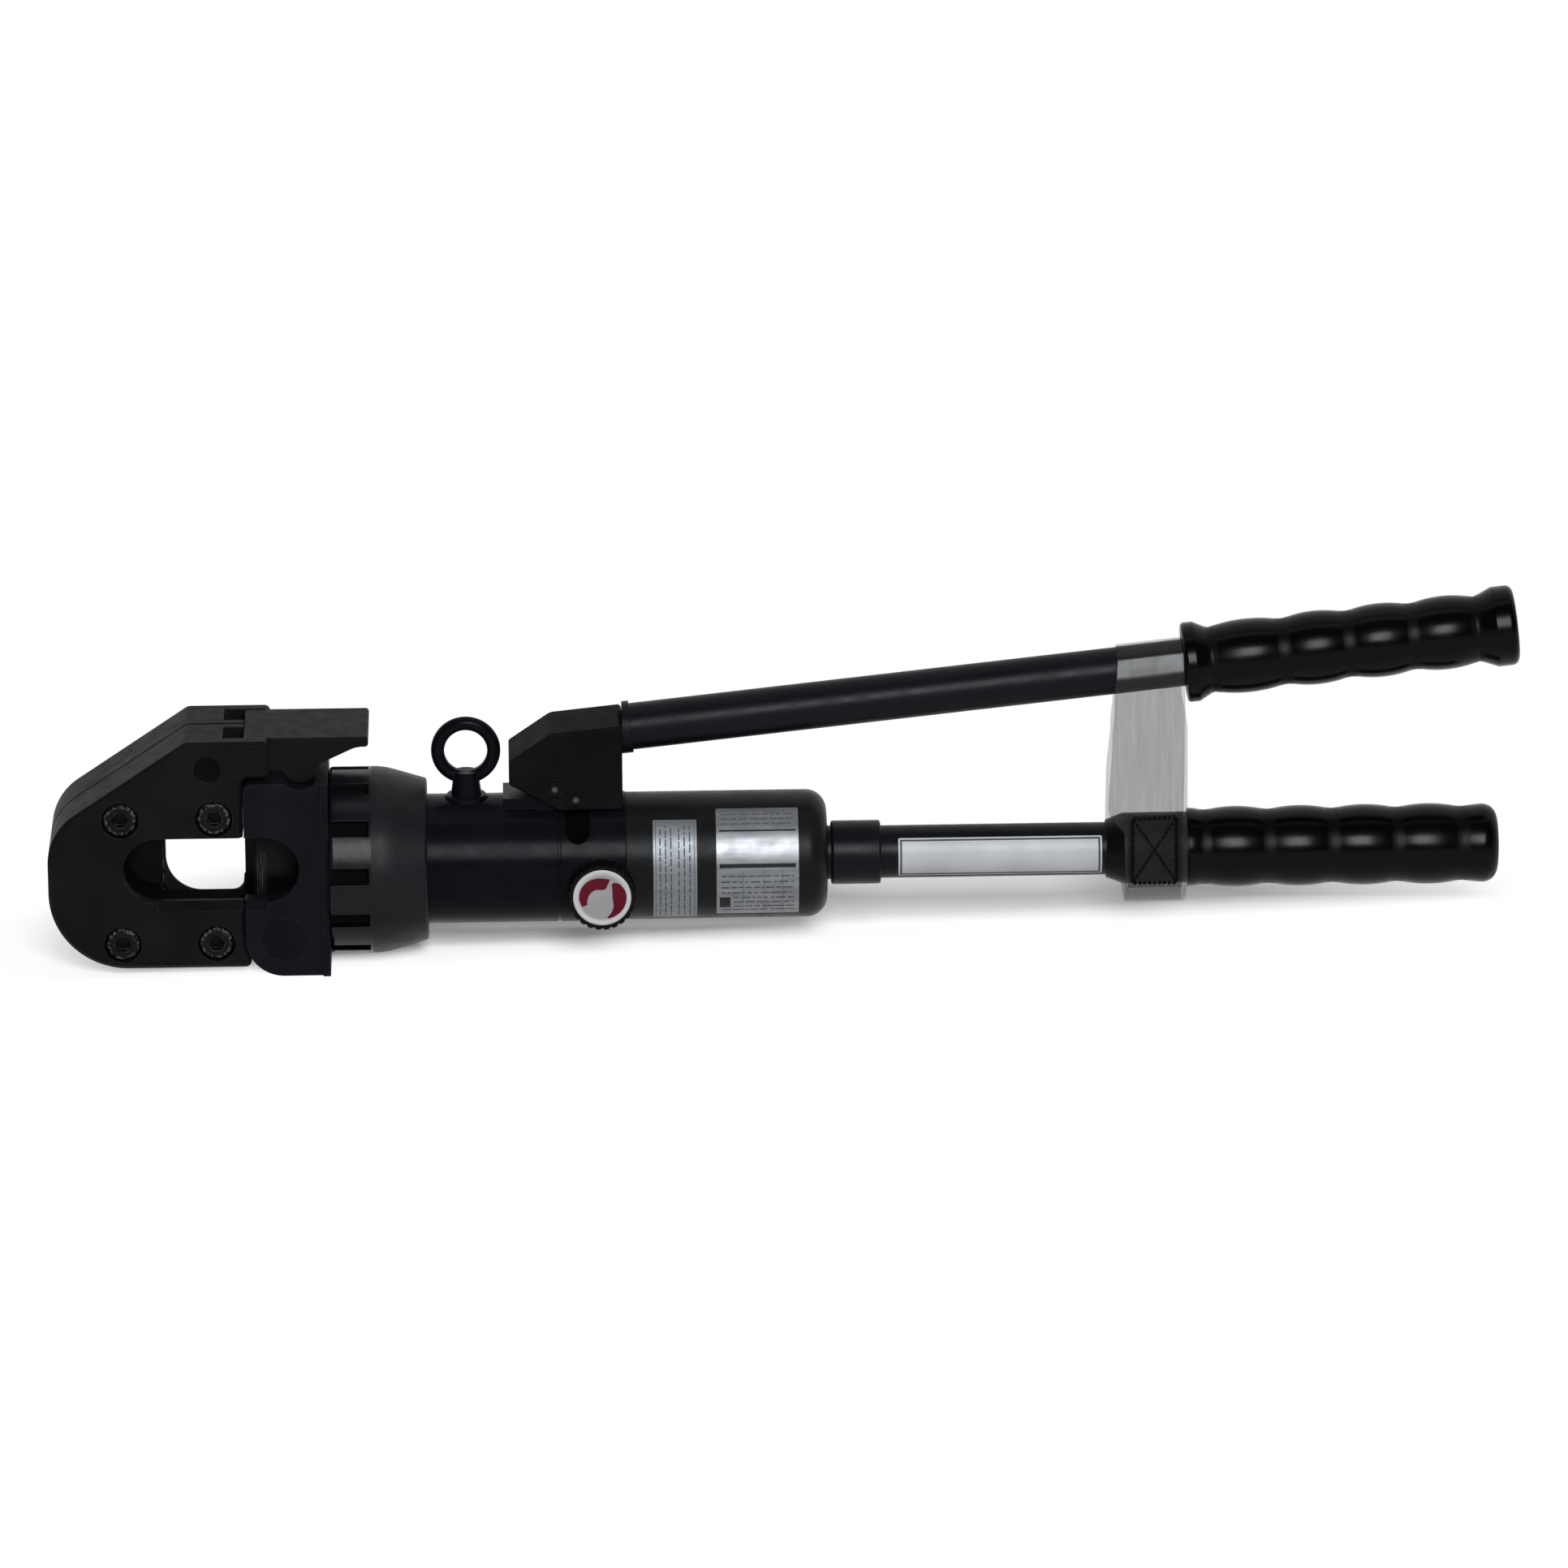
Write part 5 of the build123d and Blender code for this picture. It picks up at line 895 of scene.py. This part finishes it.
def label_border(points, faces, radius, x_span, angle_span, margin, line):
    """Adds a thin frame set in from a wrapped label's edge."""
    turn = math.degrees(1 / radius)
    x0, x1 = x_span[0] + margin, x_span[1] - margin
    a0, a1 = angle_span[0] + margin * turn, angle_span[1] - margin * turn
    half = line * turn / 2
    for angle in (a0, a1):
        wrapped_rule(points, faces, radius, (x0 - line / 2, x1 + line / 2), (angle - half, angle + half))
    for x in (x0, x1):
        wrapped_rule(points, faces, radius, (x - line / 2, x + line / 2), (a0, a1), FRAME_SIDE_SKIN)


def broken_row(points, faces, radius, x_span, angle, line, chance):
    """Adds a row of short bars along x, as worn print reads from a distance."""
    turn = math.degrees(1 / radius)
    x = x_span[0]
    while x < x_span[1] - SHORTEST_BAR:
        end = min(x + chance.uniform(*ROW_BAR), x_span[1])
        wrapped_rule(points, faces, radius, (x, end), (angle - line * turn / 2, angle + line * turn / 2))
        x = end + chance.uniform(*ROW_GAP)


def broken_column(points, faces, radius, x, angle_span, line, chance):
    """Adds a row of short bars round the tank."""
    turn = math.degrees(1 / radius)
    angle = angle_span[0]
    while angle < angle_span[1] - SHORTEST_BAR * turn:
        end = min(angle + chance.uniform(*COLUMN_BAR) * turn, angle_span[1])
        wrapped_rule(points, faces, radius, (x - line / 2, x + line / 2), (angle, end))
        angle = end + chance.uniform(*COLUMN_GAP) * turn


def print_piece(name, points, faces, material):
    """Print on a label, which stays with the frame."""
    piece = mesh_piece(name, points, faces, material, smooth=False)
    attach(piece, "frame")


SPEC_SPAN = (270.6, 304.0)
SPEC_BARS = ((38.5, 0.7), (7.0, 1.7))
SPEC_BAR_MARGIN = 1.2
SPEC_BLOCK_WIDTH = 4.4
SPEC_BLOCK_ANGLES = (-37.0, -24.0)
SPEC_ROW_MARGIN = 2.0
SPEC_UPPER_LINE, SPEC_LOWER_LINE = 0.5, 0.6
SPEC_UPPER_ROWS = (55.0, 50.0, 45.0)
SPEC_LOWER_ROWS = (-2.5, -8.0, -13.5, -19.0, -24.5, -30.0, -35.5, -41.0)
SPEC_BESIDE_BLOCK = (-38.0, -22.0)
SPEC_BLOCK_MARGIN = 7.0
SPEC_COLUMNS = (281.2, 290.0, 297.4)
SPEC_COLUMN_HALF = 0.1
SPEC_COLUMN_ANGLES = (-44.0, 3.0)


def spec_label_print():
    """Two dark bars and a block, a table of thin rules and rows of short bars."""
    chance = random.Random(4)
    left, right = SPEC_SPAN
    points, faces = [], []
    for angle, height in SPEC_BARS:
        turn = math.degrees(height / 2 / TANK_LABEL_RADIUS)
        wrapped_rule(points, faces, TANK_LABEL_RADIUS, (left + SPEC_BAR_MARGIN, right - SPEC_BAR_MARGIN),
                     (angle - turn, angle + turn))
    block = (left + SPEC_BAR_MARGIN, left + SPEC_BAR_MARGIN + SPEC_BLOCK_WIDTH)
    wrapped_rule(points, faces, TANK_LABEL_RADIUS, block, SPEC_BLOCK_ANGLES)
    print_piece("spec_label_bars", points, faces, PRINT_DARK)
    points, faces = [], []
    for angle in SPEC_UPPER_ROWS:
        span = (left + SPEC_ROW_MARGIN, right - SPEC_ROW_MARGIN)
        broken_row(points, faces, TANK_LABEL_RADIUS, span, angle, SPEC_UPPER_LINE, chance)
    for angle in SPEC_LOWER_ROWS:
        beside_block = SPEC_BESIDE_BLOCK[0] < angle < SPEC_BESIDE_BLOCK[1]
        start = left + (SPEC_BLOCK_MARGIN if beside_block else SPEC_ROW_MARGIN)
        span = (start, right - SPEC_ROW_MARGIN)
        broken_row(points, faces, TANK_LABEL_RADIUS, span, angle, SPEC_LOWER_LINE, chance)
    for x in SPEC_COLUMNS:
        wrapped_rule(points, faces, TANK_LABEL_RADIUS, (x - SPEC_COLUMN_HALF, x + SPEC_COLUMN_HALF),
                     SPEC_COLUMN_ANGLES, COLUMN_SKIN)
    print_piece("spec_label_rows", points, faces, PRINT_GREY)


SIDE_SPAN, SIDE_ANGLES = (245.0, 262.7), (-55.0, 50.0)
SIDE_COLUMNS = (247.8, 250.0, 252.2, 255.4, 257.6, 259.8)
SIDE_COLUMN_MARGIN = 6.0
SIDE_COLUMN_LINE = 0.55


def side_label_print():
    """Upright rows of short bars inside a thin frame."""
    chance = random.Random(9)
    points, faces = [], []
    label_border(points, faces, TANK_LABEL_RADIUS, SIDE_SPAN, SIDE_ANGLES, margin=1.0, line=0.25)
    angles = (SIDE_ANGLES[0] + SIDE_COLUMN_MARGIN, SIDE_ANGLES[1] - SIDE_COLUMN_MARGIN)
    for x in SIDE_COLUMNS:
        broken_column(points, faces, TANK_LABEL_RADIUS, x, angles, SIDE_COLUMN_LINE, chance)
    print_piece("side_label_rows", points, faces, PRINT_GREY)


NAMEPLATE_SPAN, NAMEPLATE_ANGLES = (345.0, 428.0), (-44.0, 46.0)


def nameplate_print():
    """Plain grey frame round a bare plate."""
    points, faces = [], []
    label_border(points, faces, NAMEPLATE_RADIUS, NAMEPLATE_SPAN, NAMEPLATE_ANGLES, margin=1.1, line=0.8)
    print_piece("nameplate_frame", points, faces, PRINT_GREY)


spec_label_print()
side_label_print()
nameplate_print()


# Return spring, which the ram squashes


def return_coil():
    """Return spring, as a copy with its own mesh that stays with the frame."""
    node = NODES["return_spring"]
    points = [node.matrix_world @ vertex.co for vertex in node.data.vertices]
    faces = [tuple(polygon.vertices) for polygon in node.data.polygons]
    coil = mesh_piece("return_spring_coil", points, faces, MATERIALS["spring_steel"])
    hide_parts("return_spring")
    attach(coil, "frame")
    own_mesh(coil)


return_coil()


# Stage, light and camera

FLOOR_SIZE = 6.0
FLOOR_TINT = (1.0, 0.97, 0.94)
FLOOR_TONE, FLOOR_SEEN_TONE = 0.75, 1.75
FLOOR_GLOW = 0.08
PLAIN_UNSEEN, PLAIN_SEEN = 0.3, 1.0
SHADOW_SHIFT = (-0.003, 0, 0)
SHADOW_SCALE = (0.33, 0.70, 1)
SHADOW_REACH = (0.075, 0.115)
SHADOW_SLANT = 0.146
SHADOW_FRONT = (0.005, 0.032)
ROOM_COLOUR = (0.92, 0.96, 1.0, 1)
ROOM_STRENGTH = 0.10
BACKDROP_FADE = (-0.1, 0.3)
LAMP_AIM = (0, 0, 0.06)
CAMERA_AIM = (0, 0, 0.07)
CAMERA_AZIMUTH = -1.64
CAMERA_ELEVATION = 17.47
CAMERA_ROLL = -0.357
CAMERA_DISTANCE = 4.0
CAMERA_CLIP_END = 50.0
FOCAL_PIXELS = 12109.0
PICTURE_PIXELS = 1932.0
SENSOR = 36.0


def background_rays(tree):
    """One for camera, glossy and transmission rays, which see the white background."""
    path = tree.nodes.new("ShaderNodeLightPath")
    total = path.outputs["Is Camera Ray"]
    for name in ("Is Glossy Ray", "Is Transmission Ray"):
        total = arithmetic(tree, "MAXIMUM", total, path.outputs[name])
    return total


def cleared_tree(owner):
    """Empty node tree of a material or a world."""
    owner.use_nodes = True
    owner.node_tree.nodes.clear()
    return owner.node_tree


def white_glow(tree, strength):
    """White light of a linked strength."""
    node = tree.nodes.new("ShaderNodeEmission")
    node.inputs["Color"].default_value = WHITE
    tree.links.new(strength, node.inputs["Strength"])
    return node.outputs[0]


def mixed_surface(tree, output_kind, factor, first, second):
    """Ends a node tree with a mix of two shaders."""
    mix = tree.nodes.new("ShaderNodeMixShader")
    tree.links.new(factor, mix.inputs["Fac"])
    tree.links.new(first, mix.inputs[1])
    tree.links.new(second, mix.inputs[2])
    output = tree.nodes.new(output_kind)
    tree.links.new(mix.outputs[0], output.inputs["Surface"])


def stage_floor():
    """Pale floor that keeps the object's shadow.

    It turns to plain white outside an oval round the tool and in front of a line that slants along it.
    """
    material = bpy.data.materials.new("floor_white")
    tree = cleared_tree(material)
    seen = background_rays(tree)
    diffuse = tree.nodes.new("ShaderNodeBsdfDiffuse")
    tones = [tuple(tone * share for share in FLOOR_TINT) for tone in (FLOOR_TONE, FLOOR_SEEN_TONE)]
    tree.links.new(blended(tree, seen, *tones), diffuse.inputs["Color"])
    shadowed = tree.nodes.new("ShaderNodeAddShader")
    tree.links.new(diffuse.outputs[0], shadowed.inputs[0])
    tree.links.new(white_glow(tree, arithmetic(tree, "MULTIPLY", seen, FLOOR_GLOW)), shadowed.inputs[1])
    plain = white_glow(tree, spread(tree, seen, PLAIN_UNSEEN, PLAIN_SEEN, 0.0, 1.0))
    floor_place = object_place(tree)
    oval = mapped(tree, floor_place, SHADOW_SCALE, SHADOW_SHIFT)
    outside = spread(tree, vector_math(tree, "LENGTH", oval), 0.0, 1.0, *SHADOW_REACH)
    x, y, _ = split_vector(tree, floor_place)
    behind = arithmetic(tree, "SUBTRACT", y, arithmetic(tree, "MULTIPLY", x, SHADOW_SLANT))
    away = arithmetic(tree, "MAXIMUM", outside, spread(tree, behind, 1.0, 0.0, *SHADOW_FRONT))
    mixed_surface(tree, "ShaderNodeOutputMaterial", away, shadowed.outputs[0], plain)
    size = FLOOR_SIZE
    corners = [(-size, -size, 0), (size, -size, 0), (size, size, 0), (-size, size, 0)]
    mesh_piece("floor", corners, [(0, 1, 2, 3)], material)


def stage_world():
    """White backdrop where it is seen or mirrored, a dimmer room in front and as fill."""
    world = bpy.data.worlds.new("studio")
    bpy.context.scene.world = world
    tree = cleared_tree(world)
    shades = []
    for colour, strength in ((ROOM_COLOUR, ROOM_STRENGTH), (WHITE, 1.0)):
        background = tree.nodes.new("ShaderNodeBackground")
        background.inputs["Color"].default_value = colour
        background.inputs["Strength"].default_value = strength
        shades.append(background.outputs[0])
    _, y, _ = split_vector(tree, tree.nodes.new("ShaderNodeTexCoord").outputs["Generated"])
    behind = spread(tree, y, 0.0, 1.0, *BACKDROP_FADE)
    path = tree.nodes.new("ShaderNodeLightPath").outputs
    glossy = arithmetic(tree, "MULTIPLY", path["Is Glossy Ray"], behind)
    seen = arithmetic(tree, "MAXIMUM", path["Is Camera Ray"], path["Is Transmission Ray"])
    mixed_surface(tree, "ShaderNodeOutputWorld", arithmetic(tree, "MAXIMUM", seen, glossy), *shades)


def softbox(name, elevation, azimuth, distance, size, power, colour):
    """Rectangular light that faces the middle of the tool."""
    light = bpy.data.lights.new(name, "AREA")
    light.shape = "RECTANGLE"
    light.size, light.size_y = size
    light.energy = power
    light.color = colour
    lamp = bpy.data.objects.new(name, light)
    bpy.context.scene.collection.objects.link(lamp)
    e, a = math.radians(elevation), math.radians(azimuth)
    towards = Vector((math.sin(a) * math.cos(e), -math.cos(a) * math.cos(e), math.sin(e)))
    lamp.location = Vector(LAMP_AIM) + towards * distance
    lamp.rotation_euler = towards.to_track_quat("Z", "Y").to_euler()


def stage_camera():
    """Camera at the photograph's angle, far off with a long lens."""
    a, e, r = (math.radians(v) for v in (CAMERA_AZIMUTH, CAMERA_ELEVATION, CAMERA_ROLL))
    look = Vector((-math.sin(a) * math.cos(e), math.cos(a) * math.cos(e), -math.sin(e)))
    right = Vector((math.cos(a), math.sin(a), 0))
    up = right.cross(look)
    right, up = math.cos(r) * right + math.sin(r) * up, -math.sin(r) * right + math.cos(r) * up
    eye = Vector(CAMERA_AIM) - look * CAMERA_DISTANCE
    camera = bpy.data.objects.new("camera", bpy.data.cameras.new("camera"))
    bpy.context.scene.collection.objects.link(camera)
    camera.data.sensor_width = SENSOR
    camera.data.sensor_fit = "HORIZONTAL"
    camera.data.lens = SENSOR * FOCAL_PIXELS / PICTURE_PIXELS
    camera.data.clip_end = CAMERA_CLIP_END
    rotation = Matrix((right, up, -look)).transposed()
    camera.matrix_world = Matrix.Translation(eye) @ rotation.to_4x4()
    bpy.context.scene.camera = camera


stage_floor()
stage_world()
softbox("front_box", elevation=29.0, azimuth=5.0, distance=2.6, size=(0.85, 1.05), power=62.0,
        colour=(0.94, 0.97, 1.0))
softbox("top_box", elevation=86.0, azimuth=0.0, distance=1.1, size=(1.4, 0.12), power=1.0,
        colour=(1.0, 1.0, 1.0))
stage_camera()
bpy.context.scene.view_settings.view_transform = "Standard"
